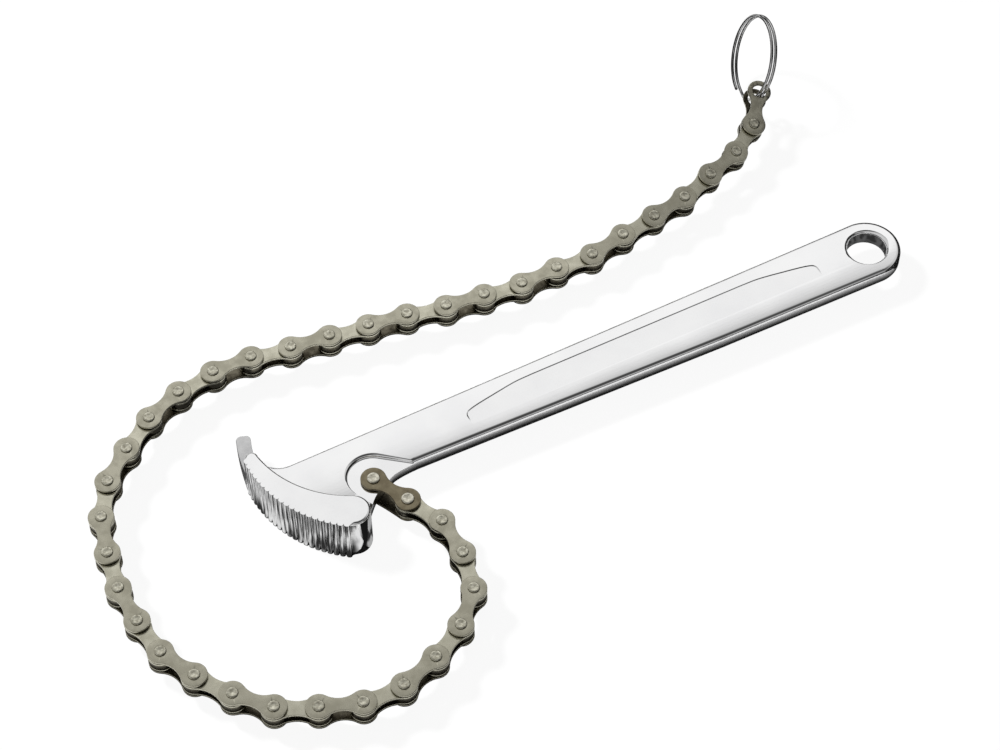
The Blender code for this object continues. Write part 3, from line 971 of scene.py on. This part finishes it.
@dataclass
class Forging:
    """Handle, web, toothed jaw and horn in one piece. Places count from the anchor rivet."""

    workshop: Workshop
    finishes: tuple[MetalFinish, ...] = (CHROME, TOOTH_CHROME, HORN_CHROME_PAINTED_SHADE, PANEL_CHROME_PAINTED_SHADE)
    tooth_number: int = 1
    horn_number: int = 2
    panel_number: int = 3
    smooth_angle: float = 32.0
    anchor: float = 0.0224
    middle: float = 0.0087
    overrun: float = 0.0010

    half_thickness: float = 0.0032
    edge_radius: float = 0.0014
    edge_segments: int = 6
    throat: Points = (
        (-0.0112, -0.0144), (-0.0084, -0.01224), (-0.00605, -0.01010), (-0.00435, -0.00806),
        (-0.00087, -0.00475), (0.00464, -0.00173), (0.00827, -0.00058), (0.0145, 0.0),
    )
    fillet: Points = (
        (-0.0200, 0.0164), (-0.02217, 0.01669), (-0.02434, 0.017705), (-0.0262, 0.0193),
        (-0.0293, 0.02104),
    )
    taper_end: Point = (0.1200, -0.0029)
    path_steps: int = 4
    core_inset: float = 0.0035
    core_tip_gap: float = 2.0
    core_heel_gap: float = 4.0
    core_steps: int = 16
    crown_middle: float = 0.0072
    crown_half: float = 0.0108
    crown_share: float = 0.09
    crown_levels: int = 10

    eye: Point = (0.1783, 0.0072)
    eye_bore: float = 0.0063
    eye_rim: float = 0.0012
    eye_flare: float = 0.0002
    eye_turns: tuple[float, ...] = (0.4, 0.8, 1.2, 1.5)
    eye_radius: float = 0.0108
    eye_steps: int = 40
    eye_bore_steps: int = 64

    jaw_centre: Point = (0.0084, 0.0190)
    jaw_radius: float = 0.0416
    jaw_half: float = 0.0087
    jaw_edge: float = 0.0009
    jaw_edge_segments: int = 4
    plain_angle: float = 75.0
    tip_angle: float = 178.0
    heel_angle: float = 236.0
    inner_centre: Point = (0.0059, 0.0258)
    inner_radius: float = 0.0348
    inner_tip_angle: float = 189.5
    inner_heel_angle: float = 245.0
    inner_steps: int = 40
    tip_bulge: float = 0.0019
    heel_bulge: float = 0.0055
    bulge_steps: int = 14
    teeth: int = 21
    tooth_depth: float = 0.0006
    groove_depth: float = 0.00085
    crest: Points = (
        (0.0, 0.0), (0.06, 0.45), (0.14, 0.72), (0.25, 0.89), (0.38, 0.975),
        (0.5, 1.0), (0.62, 0.975), (0.75, 0.89), (0.86, 0.72), (0.94, 0.45),
    )

    horn_half: float = 0.0010
    horn_depth: float = 0.0047
    horn_inset: float = 0.0002
    horn_end_angle: float = 158.5
    horn_overlap: float = 3.0
    horn_corner: float = 0.0015
    horn_edge: float = 0.0003
    horn_edge_segments: int = 2
    horn_steps: int = 12
    horn_corner_steps: int = 6
    horn_hollow: float = 1.5

    pocket_radius: float = 0.0074
    pocket_rise: float = 0.0010
    pocket_floor: float = 0.00205
    pocket_rim: float = 0.0010
    pocket_mouth: Point = (0.0145, 0.0005)
    pocket_heel: Point = (-0.0045, -0.0088)
    pocket_low: float = -0.0144
    pocket_steps: int = 40
    pocket_wall: Points = ((0.30, 0.05), (0.40, 0.22), (0.20, 0.30), (0.10, 0.43))
    rivet_bore: float = 0.0018
    rivet_bore_half: float = 0.01
    rivet_bore_steps: int = 32

    panel_start: float = 0.0352
    panel_end: float = 0.1600
    panel_low: float = 0.0031
    panel_high: float = 0.0126
    panel_depth: float = 0.00030
    panel_slope: float = 0.00036
    panel_corner: float = 7.0
    panel_line: Points = (
        (0.0, 0.0), (0.0, 0.42), (0.002, 0.53), (0.0075, 0.615), (0.02, 0.68), (0.0425, 0.747),
        (0.087, 0.847), (0.15, 0.974), (0.2, 1.0),
    )

    def from_anchor(self, point: Sequence[float]) -> Point:
        """Turn a place that counts from the anchor rivet into one of the frame."""
        return self.anchor + point[0], point[1]

    @property
    def toothed_from(self) -> float:
        """Distance from the jaw's centre past which the teeth lie."""
        return self.jaw_radius - 2 * self.tooth_depth

    def shank(self) -> BMesh:
        """Bar, neck, throat and the core of the jaw."""
        eye = self.from_anchor(self.eye)
        lower = eased_path([self.from_anchor(point) for point in self.throat], self.path_steps)
        upper = eased_path([self.from_anchor(point) for point in self.fillet], self.path_steps)
        outline = Outline(lower[0])
        outline.line_to(*lower[1:], self.from_anchor(self.taper_end))
        outline.line_to((eye[0], eye[1] - self.eye_radius))
        outline.turn_about(eye, 180.0, self.eye_steps)
        outline.line_to(*upper)
        centre = self.from_anchor(self.jaw_centre)
        start = self.tip_angle + self.core_tip_gap
        outline.line_to(point_on(centre, self.jaw_radius - self.core_inset, start))
        outline.turn_about(centre, self.heel_angle - self.core_heel_gap - start, self.core_steps)
        shape = outline.close().raise_solid(-self.half_thickness, self.half_thickness)
        rims = [edge for edge in shape.edges if is_level(edge)]
        round_edges(shape, rims, self.edge_radius, self.edge_segments, limited=False)
        self.crown(shape)
        return shape

    def crown(self, shape: BMesh) -> None:
        """Curve both faces of the bar slightly across its width, as polishing leaves them."""
        for step in range(-self.crown_levels, self.crown_levels + 1):
            level = self.crown_middle + self.crown_half * step / self.crown_levels
            bmesh.ops.bisect_plane(
                shape, geom=shape.verts[:] + shape.edges[:] + shape.faces[:], dist=TINY,
                plane_co=(0.0, level, 0.0), plane_no=(0.0, 1.0, 0.0),
            )
        for vert in shape.verts:
            across = max(-1.0, min(1.0, (vert.co.y - self.crown_middle) / self.crown_half))
            vert.co.z *= 1.0 - self.crown_share * across**2

    def jaw(self) -> BMesh:
        """Crescent with a toothed outer edge and rounded ends."""
        centre = self.from_anchor(self.jaw_centre)
        inner = self.from_anchor(self.inner_centre)
        pitch = (self.heel_angle - self.tip_angle) / self.teeth
        root = self.jaw_radius - self.groove_depth
        points = [
            point_on(
                centre, root + self.groove_depth * rise, self.tip_angle + pitch * (tooth + share)
            )
            for tooth in range(self.teeth)
            for share, rise in self.crest
        ]
        points.append(point_on(centre, root, self.heel_angle))
        sweep = self.inner_tip_angle - self.inner_heel_angle
        inside = [
            point_on(
                inner, self.inner_radius, self.inner_heel_angle + sweep * step / self.inner_steps
            )
            for step in range(self.inner_steps + 1)
        ]
        outline = Outline(points[0])
        outline.line_to(*points[1:])
        outline.line_to(*self.bulge(points[-1], inside[0], self.heel_bulge))
        outline.line_to(*inside)
        outline.line_to(*self.bulge(inside[-1], points[0], self.tip_bulge))
        shape = outline.close().raise_solid(-self.jaw_half, self.jaw_half)
        plain = [
            edge for edge in sharp_edges(shape, self.plain_angle) if self.is_plain(edge, centre)
        ]
        round_edges(shape, plain, self.jaw_edge, self.jaw_edge_segments, limited=False)
        for face in shape.faces:
            out = (face.calc_center_median().xy - Vector(centre)).length
            if out > self.toothed_from and abs(face.normal.z) < 0.5:
                face.material_index = self.tooth_number
        return shape

    def is_plain(self, edge: BMEdge, centre: Sequence[float]) -> bool:
        """Tell whether an edge of a jaw face lies away from the teeth."""
        place = ((edge.verts[0].co + edge.verts[1].co) / 2).xy
        toothed = self.tip_angle - 0.5 < angle_of(place, centre) < self.heel_angle + 0.5
        outside = (place - Vector(centre)).length > self.toothed_from
        return is_level(edge) and not (toothed and outside)

    def bulge(self, first: Sequence[float], last: Sequence[float], depth: float) -> list[Point]:
        """Draw half an ellipse between two points, bulging to the right of the way."""
        start, finish = Vector(first), Vector(last)
        half = (start - finish) / 2
        out = Vector((-half.y, half.x)).normalized() * depth
        turns = [math.pi * step / self.bulge_steps for step in range(1, self.bulge_steps)]
        middle = (start + finish) / 2
        return [tuple(middle + half * math.cos(turn) + out * math.sin(turn)) for turn in turns]

    def horn(self) -> BMesh:
        """Horn beyond the tip of the jaw, thin at its end and as deep as the jaw at its root."""
        centre = self.from_anchor(self.jaw_centre)
        inside = self.jaw_radius - self.horn_depth
        outside = self.jaw_radius - self.horn_inset
        root = self.tip_angle + self.horn_overlap
        end = self.horn_end_angle + math.degrees(self.horn_corner / self.jaw_radius)
        inner_corner = point_on(centre, inside + self.horn_corner, end)
        outer_corner = point_on(centre, outside - self.horn_corner, end)
        outline = Outline(point_on(centre, inside, root))
        outline.turn_about(centre, end - root, self.horn_steps)
        outline.turn_about(inner_corner, 90.0, self.horn_corner_steps)
        outline.line_to(point_on(outer_corner, self.horn_corner, end - 90.0))
        outline.turn_about(outer_corner, 90.0, self.horn_corner_steps)
        outline.turn_about(centre, root - end, self.horn_steps)
        shape = outline.close().raise_solid(-self.jaw_half, self.horn_half)
        round_edges(
            shape, sharp_edges(shape), self.horn_edge, self.horn_edge_segments, limited=False
        )
        way = self.tip_angle - self.horn_end_angle
        for vert in shape.verts:
            if vert.co.z < 0:
                along = (angle_of(vert.co.xy, centre) - self.horn_end_angle) / way
                share = min(1.0, max(0.0, along)) ** self.horn_hollow
                depth = self.horn_half + (self.jaw_half - self.horn_half) * share
                vert.co.z *= depth / self.jaw_half
        # The horn takes the darker chrome, which is painted shade.
        for face in shape.faces:
            face.material_index = self.horn_number
        return shape

    def pocket(self) -> BMesh:
        """Cutter of the pocket about the anchor rivet, its upper rim flared."""
        centre = self.from_anchor((0.0, self.pocket_rise))
        mouth = Vector(self.from_anchor(self.pocket_mouth))
        heel = Vector(self.from_anchor(self.pocket_heel))
        reach = self.pocket_radius + self.pocket_rim
        to_mouth = mouth - Vector(centre)
        to_heel = heel - Vector(centre)
        first = math.degrees(
            math.atan2(to_mouth.y, to_mouth.x) + math.acos(reach / to_mouth.length)
        )
        last = 360 + math.degrees(
            math.atan2(to_heel.y, to_heel.x) - math.acos(reach / to_heel.length)
        )
        right = mouth.x + self.overrun
        outline = Outline(mouth)
        outline.line_to(point_on(centre, reach, first))
        outline.turn_about(centre, last - first, self.pocket_steps)
        outline.line_to(heel, (heel.x, self.pocket_low), (right, self.pocket_low), (right, 0.0))
        shape = outline.close().fill()
        lift = self.half_thickness + self.overrun
        bmesh.ops.translate(shape, vec=UP * lift, verts=shape.verts)
        grown = bmesh.ops.extrude_face_region(shape, geom=shape.faces[:])
        lowered = [item for item in grown["geom"] if isinstance(item, BMVert)]
        bmesh.ops.translate(shape, vec=UP * -self.overrun, verts=lowered)
        floor = [item for item in grown["geom"] if isinstance(item, BMFace)]
        for inward, down in self.pocket_wall:
            bmesh.ops.recalc_face_normals(shape, faces=shape.faces)
            bmesh.ops.inset_region(
                shape, faces=floor, thickness=self.pocket_rim * inward,
                depth=self.pocket_rim * down, use_even_offset=True, use_boundary=True,
            )
        bmesh.ops.recalc_face_normals(shape, faces=shape.faces)
        for vert in {vert for face in floor for vert in face.verts}:
            vert.co.z = self.pocket_floor
        return shape

    def panel(self) -> BMesh:
        """Cutter of the long shallow panel, deepest along its upper side."""
        start, end = self.anchor + self.panel_start, self.anchor + self.panel_end
        low, width = self.panel_low, self.panel_high - self.panel_low
        length = end - start
        left = [(start + length * x, low + width * y) for x, y in self.panel_line]
        right = [(start + length * (1 - x), low + width * y) for x, y in self.panel_line]
        left, right = (eased_path(side, self.path_steps) for side in (left, right))
        outline = Outline(right[0])
        outline.line_to(*right[1:], *left[::-1])
        top = self.half_thickness
        shape = outline.close().raise_solid(top, top + self.overrun)
        floor = [face for face in shape.faces if face.normal.z < -0.5]
        bmesh.ops.inset_region(
            shape, faces=floor, thickness=self.panel_slope, use_even_offset=True, use_boundary=True
        )
        for vert in {vert for face in floor for vert in face.verts}:
            vert.co.z -= self.panel_depth * (vert.co.y - low) / width
        # The panel takes the darker chrome, which is painted shade in the recess.
        for face in shape.faces:
            face.material_index = self.panel_number
        return shape

    def sharpen_panel(self, mesh: bpy.types.Mesh) -> None:
        """Keep the shallow edges of the panel crisp."""
        shape = bmesh.new()
        shape.from_mesh(mesh)
        for edge in shape.edges:
            beside = any(face.material_index == self.panel_number for face in edge.link_faces)
            if beside and edge.calc_face_angle(0.0) > math.radians(self.panel_corner):
                edge.smooth = False
        shape.to_mesh(mesh)
        shape.free()

    def eye_cutter(self) -> BMesh:
        """Cutter of the hanging eye with a rounded rim at both faces."""
        bore, rim = self.eye_bore, self.eye_rim
        start, over = self.half_thickness - rim, self.half_thickness + self.overrun
        upper = [(bore, start)]
        upper += [
            (bore + rim * (1 - math.cos(turn)), start + rim * math.sin(turn))
            for turn in self.eye_turns
        ]
        upper += [(bore + rim + self.eye_flare, over)]
        lower = [(radius, -height) for radius, height in reversed(upper)]
        cutter = turned([(0.0, -over), *lower, *upper, (0.0, over)], self.eye_bore_steps, False)
        return moved(cutter, *self.from_anchor(self.eye))

    def rivet_cutter(self) -> BMesh:
        """Cutter of the bore for the anchor rivet."""
        bore, half = self.rivet_bore, self.rivet_bore_half
        profile = [(0.0, -half), (bore, -half), (bore, half), (0.0, half)]
        return moved(turned(profile, self.rivet_bore_steps, False), self.anchor)

    def build(self) -> None:
        """Join and cut the solids, and put the forging in place."""
        body = self.solid("forging", self.shank())
        joined = [self.solid("jaw", self.jaw()), self.solid("horn", self.horn())]
        cutters = [
            self.pocket(), flipped(self.pocket()), self.panel(), flipped(self.panel()),
            self.eye_cutter(), self.rivet_cutter(),
        ]
        cut = [self.solid("cutter", shape) for shape in cutters]
        for operation, helpers in (("UNION", joined), ("DIFFERENCE", cut)):
            for helper in helpers:
                step = body.modifiers.new(operation.lower(), "BOOLEAN")
                step.operation = operation
                step.solver = "EXACT"
                step.object = helper
        finished = body.evaluated_get(bpy.context.evaluated_depsgraph_get())
        mesh = bpy.data.meshes.new_from_object(finished)
        for helper in (body, *joined, *cut):
            bpy.data.objects.remove(helper)
        mesh.transform(Matrix.Translation((0.0, 0.0, self.middle)))
        mesh.shade_smooth()
        mesh.set_sharp_from_angle(angle=math.radians(self.smooth_angle))
        self.sharpen_panel(mesh)
        self.workshop.piece(
            "handle_forging", mesh, self.finishes, Slot.FORGING, "handle", ["handle"]
        )

    def solid(self, name: str, shape: BMesh) -> bpy.types.Object:
        """Turn a solid into an object that the Boolean steps can use."""
        mesh = to_mesh(name, [shape])
        for chosen in self.finishes:
            mesh.materials.append(self.workshop.finish(chosen))
        return add_object(name, mesh)


@dataclass(frozen=True)
class Sheet:
    """A rectangular card on the floor, by its left, right, near and far side."""

    name: str
    sides: Quad
    brightness: float
    patch: float = 0.0


@dataclass(frozen=True)
class Lamp:
    """A square soft lamp: where it hangs, its width in metres and its power in watts."""

    name: str
    place: Triple
    width: float
    power: float


@dataclass
class Studio:
    """White floor and surroundings, cards that only reflections show, soft lamps and the camera."""

    ring_middle: Vector
    hanging_eye: Point
    eye: Triple = (-0.1395, -0.3964, 0.6646)
    aim: Triple = (0.0734, 0.0161, 0.01235)
    lens: float = 93.618
    sensor: float = 36.0
    near_clip: float = 0.01

    panel_way: Triple = (0.267, 0.831, 0.487)
    panel_fade: Quad = (0.825, 0.885, 0.64, 1.0)
    cloth_way: Triple = (0.080, -0.401, 0.913)
    cloth_fade: Quad = (0.74, 0.95, 1.0, 0.12)
    ceiling_fade: Quad = (0.80, 0.97, 1.0, 0.65)
    low_wall: Quad = (0.20, 0.46, -0.35, -0.05)
    low_wall_depth: float = 0.88
    tall_wall: Quad = (0.50, 0.68, 0.30, 0.58)
    tall_wall_depth: float = 0.96
    soft_light: float = 0.05

    floor_half: float = 4.0
    floor_gap: float = 0.0001
    floor_away: Quad = (0.009, 0.0145, 0.0, 1.0)
    floor_plain: float = 0.50
    floor_dim: float = 0.08
    floor_mirrored: Point = (0.60, 0.36)
    floor_shown: Point = (0.10, 0.93)

    teeth_centre: Point = (0.0308, 0.0190)
    teeth_inner: float = 0.0418
    teeth_outer: float = 0.0640
    teeth_start: float = 172.0
    teeth_turn: float = 74.0
    teeth_steps: int = 24
    teeth_brightness: float = 0.42
    teeth_patch: float = 0.009
    # Dark sheets on the floor are painted shadow in the metal's reflections.
    sheets: tuple[Sheet, ...] = (
        Sheet("dark_sheet", (0.2125, 0.9, -0.35, 0.7), 0.01),
        Sheet("heel_sheet", (0.0140, 0.0420, -0.045, -0.0170), 0.01),
        # Painted reflection: a glowing card below the heel, with lighter flecks.
        Sheet("heel_glow", (0.0140, 0.0300, -0.0170, -0.0120), 0.22, 0.004),
        Sheet("horn_sheet", (-0.0300, 0.0020, 0.0230, 0.0600), 0.10),
    )
    eye_disc: float = 0.0095
    eye_disc_steps: int = 32
    eye_brightness: float = 0.05
    eye_patch: float = 0.003
    flag_aside: float = 0.020
    flag_half: float = 0.026
    flag_way: Triple = (0.888, -0.459, 0.0)
    flag_brightness: float = 0.01
    card_gap: float = 0.00005
    patch_edges: Point = (0.40, 0.60)
    patch_dark: float = 0.03

    lamps: tuple[Lamp, ...] = (
        Lamp("key", (-0.55, 0.75, 1.15), 0.20, 22.7),
        Lamp("overhead", (0.15, 0.25, 1.3), 0.9, 1.8),
    )

    def build(self) -> None:
        """Set up the whole studio."""
        bpy.context.scene.view_settings.view_transform = "Standard"
        self.camera()
        self.floor()
        self.surroundings()
        # Painted reflection: a glowing card along the teeth, with lighter and darker patches, seen
        # only in their reflections.
        self.card("pale_card", self.crescent(), self.teeth_brightness, self.teeth_patch)
        for sheet in self.sheets:
            self.card(sheet.name, self.rectangle(*sheet.sides), sheet.brightness, sheet.patch)
        # Painted shadow: a dark disc under the eye, with flecks, seen only in its wall's
        # reflections.
        self.card("eye_sheet", self.disc(), self.eye_brightness, self.eye_patch)
        # Painted shade: dark flags beside the ring, seen only in the wire's reflections.
        for side in Side:
            flag = self.flag(side.value * self.flag_aside)
            self.card(f"ring_flag_{side.name.lower()}", flag, self.flag_brightness)
        for lamp in self.lamps:
            self.hang(lamp)

    def camera(self) -> None:
        """Place the camera at the photograph's viewpoint."""
        lens = bpy.data.cameras.new("photo_camera")
        lens.lens = self.lens
        lens.sensor_width = self.sensor
        lens.clip_start = self.near_clip
        made = add_object("photo_camera", lens)
        self.point_at_tool(made, self.eye)
        bpy.context.scene.camera = made

    def point_at_tool(self, made: bpy.types.Object, place: Sequence[float]) -> None:
        """Put a camera or a lamp in its place and turn it to the tool."""
        made.location = place
        way = Vector(self.aim) - Vector(place)
        made.rotation_euler = way.to_track_quat("-Z", "Y").to_euler()

    def rays(self, wiring: Wiring, *kinds: str) -> Socket:
        """Add a mask that is 1 for some kinds of ray.

        Args:
            wiring: Tree of the floor's material or of the world.
            kinds: Kinds of ray, such as Camera or Glossy.

        Returns:
            The mask.
        """
        path = wiring.node("ShaderNodeLightPath")
        mask = path.outputs[f"Is {kinds[0]} Ray"]
        for kind in kinds[1:]:
            other = path.outputs[f"Is {kind} Ray"]
            mask = wiring.combine("MAXIMUM", mask, other)
        return mask

    def floor(self) -> None:
        """Lay a white floor that keeps the shadow of the tool."""
        shape = bmesh.new()
        bmesh.ops.create_grid(shape, x_segments=1, y_segments=1, size=self.floor_half)
        mesh = to_mesh("floor", [moved(shape, z=-self.floor_gap)])
        material, wiring = blank_material("white_floor")
        path = wiring.node("ShaderNodeLightPath")
        # Painted shade: within a short ray length the metal's reflections see a dim floor, a
        # contact shade near the tool.
        away = self.fade(wiring, path.outputs["Ray Length"], *self.floor_away)
        plain = wiring.node("ShaderNodeBsdfDiffuse", Color=gray(self.floor_plain))
        dim = wiring.node("ShaderNodeBsdfDiffuse", Color=gray(self.floor_dim))
        mirrored = self.lit_floor(wiring, *self.floor_mirrored)
        shown = self.lit_floor(wiring, *self.floor_shown)
        metal = wiring.mix_shader(away, dim.outputs[0], mirrored)
        reflected = self.rays(wiring, "Glossy", "Transmission")
        other = wiring.mix_shader(reflected, plain.outputs[0], metal)
        mixed = wiring.mix_shader(self.rays(wiring, "Camera"), other, shown)
        wiring.node("ShaderNodeOutputMaterial", Surface=mixed)
        mesh.materials.append(material)
        made = add_object("floor", mesh)

    def lit_floor(self, wiring: Wiring, share: float, glow: float) -> Socket:
        """Add a white surface that shows the shadow to a chosen degree.

        Args:
            wiring: Tree of the floor's material.
            share: How much of the lamps' light it gives back.
            glow: Evenly added white.

        Returns:
            The surface.
        """
        white = wiring.node("ShaderNodeBsdfDiffuse", Color=gray(share))
        even = wiring.node("ShaderNodeEmission", Color=gray(1.0), Strength=glow)
        both = wiring.node("ShaderNodeAddShader", _0=white.outputs[0], _1=even.outputs[0])
        return both.outputs[0]

    def fade(self, wiring: Wiring, value: Socket, *ends: float) -> Socket:
        """Add an eased step.

        Args:
            wiring: The tree.
            value: What it follows.
            ends: Where it starts and stops, and its value at each.

        Returns:
            The step's value.
        """
        return wiring.node(
            "ShaderNodeMapRange", {"clamp": True, "interpolation_type": "SMOOTHSTEP"},
            Value=value, From_Min=ends[0], From_Max=ends[1], To_Min=ends[2], To_Max=ends[3],
        ).outputs[0]

    def surroundings(self) -> None:
        """Make the world white to the eye, and uneven where the metal mirrors it.

        The metal sees a bright panel behind the tool, a dark cloth overhead and dark walls to
        the right. They light nothing else.
        """
        world = bpy.data.worlds.new("studio")
        world.use_nodes = True
        bpy.context.scene.world = world
        world.node_tree.nodes.clear()
        wiring = Wiring(world.node_tree)
        way = wiring.node("ShaderNodeTexCoord").outputs["Generated"]
        toward_panel, toward_cloth = (
            wiring.node("ShaderNodeVectorMath", {"operation": "DOT_PRODUCT"}, _0=way, _1=given)
            .outputs["Value"]
            for given in (self.panel_way, self.cloth_way)
        )
        parts = wiring.node("ShaderNodeSeparateXYZ", Vector=way)
        shade = self.wall(wiring, parts, self.low_wall, self.low_wall_depth)
        for part in (
            self.wall(wiring, parts, self.tall_wall, self.tall_wall_depth),
            self.fade(wiring, toward_panel, *self.panel_fade),
            self.fade(wiring, toward_cloth, *self.cloth_fade),
            self.fade(wiring, parts.outputs["Z"], *self.ceiling_fade),
        ):
            shade = wiring.combine("MULTIPLY", shade, part)
        soft, white, backdrop = (
            wiring.node("ShaderNodeBackground", Color=gray(1.0), Strength=strength)
            for strength in (self.soft_light, shade, 1.0)
        )
        depth = wiring.node("ShaderNodeLightPath").outputs["Diffuse Depth"]
        straight = wiring.combine("LESS_THAN", depth, 0.5)
        seen = wiring.combine("MULTIPLY", self.rays(wiring, "Glossy", "Transmission"), straight)
        mixed = wiring.mix_shader(seen, soft.outputs[0], white.outputs[0])
        shown = wiring.mix_shader(self.rays(wiring, "Camera"), mixed, backdrop.outputs[0])
        wiring.node("ShaderNodeOutputWorld", Surface=shown)

    def wall(
        self, wiring: Wiring, parts: bpy.types.Node, edges: Sequence[float], depth: float
    ) -> Socket:
        """Add a factor that darkens the surroundings below a height and to the right.

        Args:
            wiring: The world's tree.
            parts: Node that gives the direction's x, y and z.
            edges: The heights where the darkness starts to give way and is gone, and the
                places where it starts towards the right and is full.
            depth: How dark it gets.

        Returns:
            The factor, 1 where nothing is darkened.
        """
        low = self.fade(wiring, parts.outputs["Z"], *edges[:2], depth, 0.0)
        right = self.fade(wiring, parts.outputs["X"], *edges[2:], 0.0, 1.0)
        return wiring.combine("SUBTRACT", 1.0, wiring.combine("MULTIPLY", low, right))

    def crescent(self) -> BMesh:
        """Cut the card that lies on the floor along the teeth."""
        centre, start, turn = self.teeth_centre, self.teeth_start, self.teeth_turn
        outline = Outline(point_on(centre, self.teeth_inner, start))
        outline.turn_about(centre, turn, self.teeth_steps)
        outline.line_to(point_on(centre, self.teeth_outer, start + turn))
        outline.turn_about(centre, -turn, self.teeth_steps)
        return outline.close().fill()

    def rectangle(self, left: float, right: float, near: float, far: float) -> BMesh:
        """Cut a rectangular sheet, from its sides' x and its ends' y."""
        outline = Outline((left, near)).line_to((right, near), (right, far), (left, far))
        return outline.close().fill()

    def disc(self) -> BMesh:
        """Cut the round sheet that lies under the hanging eye."""
        shape = bmesh.new()
        bmesh.ops.create_circle(
            shape, cap_ends=True, segments=self.eye_disc_steps, radius=self.eye_disc
        )
        return moved(shape, *self.hanging_eye)

    def flag(self, aside: float) -> BMesh:
        """Cut a square card that stands beside the pull ring and faces it."""
        shape = bmesh.new()
        across = Vector(self.flag_way)
        turn = across.to_track_quat("Z", "Y").to_matrix().to_4x4()
        bmesh.ops.create_grid(
            shape, x_segments=1, y_segments=1, size=self.flag_half,
            matrix=Matrix.Translation(self.ring_middle + across * aside) @ turn,
        )
        return shape

    def card(self, name: str, shape: BMesh, brightness: float, patch: float = 0.0) -> None:
        """Put up a card that only the metal's reflections show.

        Args:
            name: Name of the card.
            shape: Its flat shape.
            brightness: How bright its reflection is.
            patch: Size of its lighter and darker patches, or 0 for an even card.
        """
        # Dark cards are painted shadow and bright cards are painted light, both seen only in the
        # metal's reflections.
        bmesh.ops.recalc_face_normals(shape, faces=shape.faces)
        mesh = to_mesh(name, [moved(shape, z=-self.card_gap)])
        material, wiring = blank_material(name)
        strength = brightness
        if patch:
            place = wiring.node("ShaderNodeTexCoord").outputs["Object"]
            noise = wiring.node("ShaderNodeTexNoise", Vector=place, Scale=1.0 / patch, Detail=2.0)
            ends = (*self.patch_edges, self.patch_dark, 2 * brightness)
            strength = self.fade(wiring, noise.outputs[0], *ends)
        glow = wiring.node("ShaderNodeEmission", Color=gray(1.0), Strength=strength)
        wiring.node("ShaderNodeOutputMaterial", Surface=glow.outputs[0])
        mesh.materials.append(material)
        made = add_object(name, mesh)
        made.visible_camera = False
        made.visible_diffuse = False
        made.visible_shadow = False

    def hang(self, lamp: Lamp) -> None:
        """Hang a lamp so that it points at the tool."""
        light = bpy.data.lights.new(lamp.name, "AREA")
        light.shape = "SQUARE"
        light.size = lamp.width
        light.energy = lamp.power
        made = add_object(lamp.name, light)
        self.point_at_tool(made, lamp.place)
        made.visible_glossy = False


def main(loaded: dict[str, Any]) -> None:
    """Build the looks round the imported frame.
    """
    logging.basicConfig(level=logging.INFO, format="%(name)s: %(message)s")
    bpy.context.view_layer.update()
    workshop = Workshop()
    layout = ChainLayout(loaded["joints"])
    forging = Forging(workshop)
    forging.build()
    RollerChain(layout, workshop, ChainSizes()).build()
    ring = PullRing(layout, workshop)
    ring.build()
    Studio(ring.middle(), forging.from_anchor(forging.eye)).build()


if __name__ == "__main__":
    main(frame)
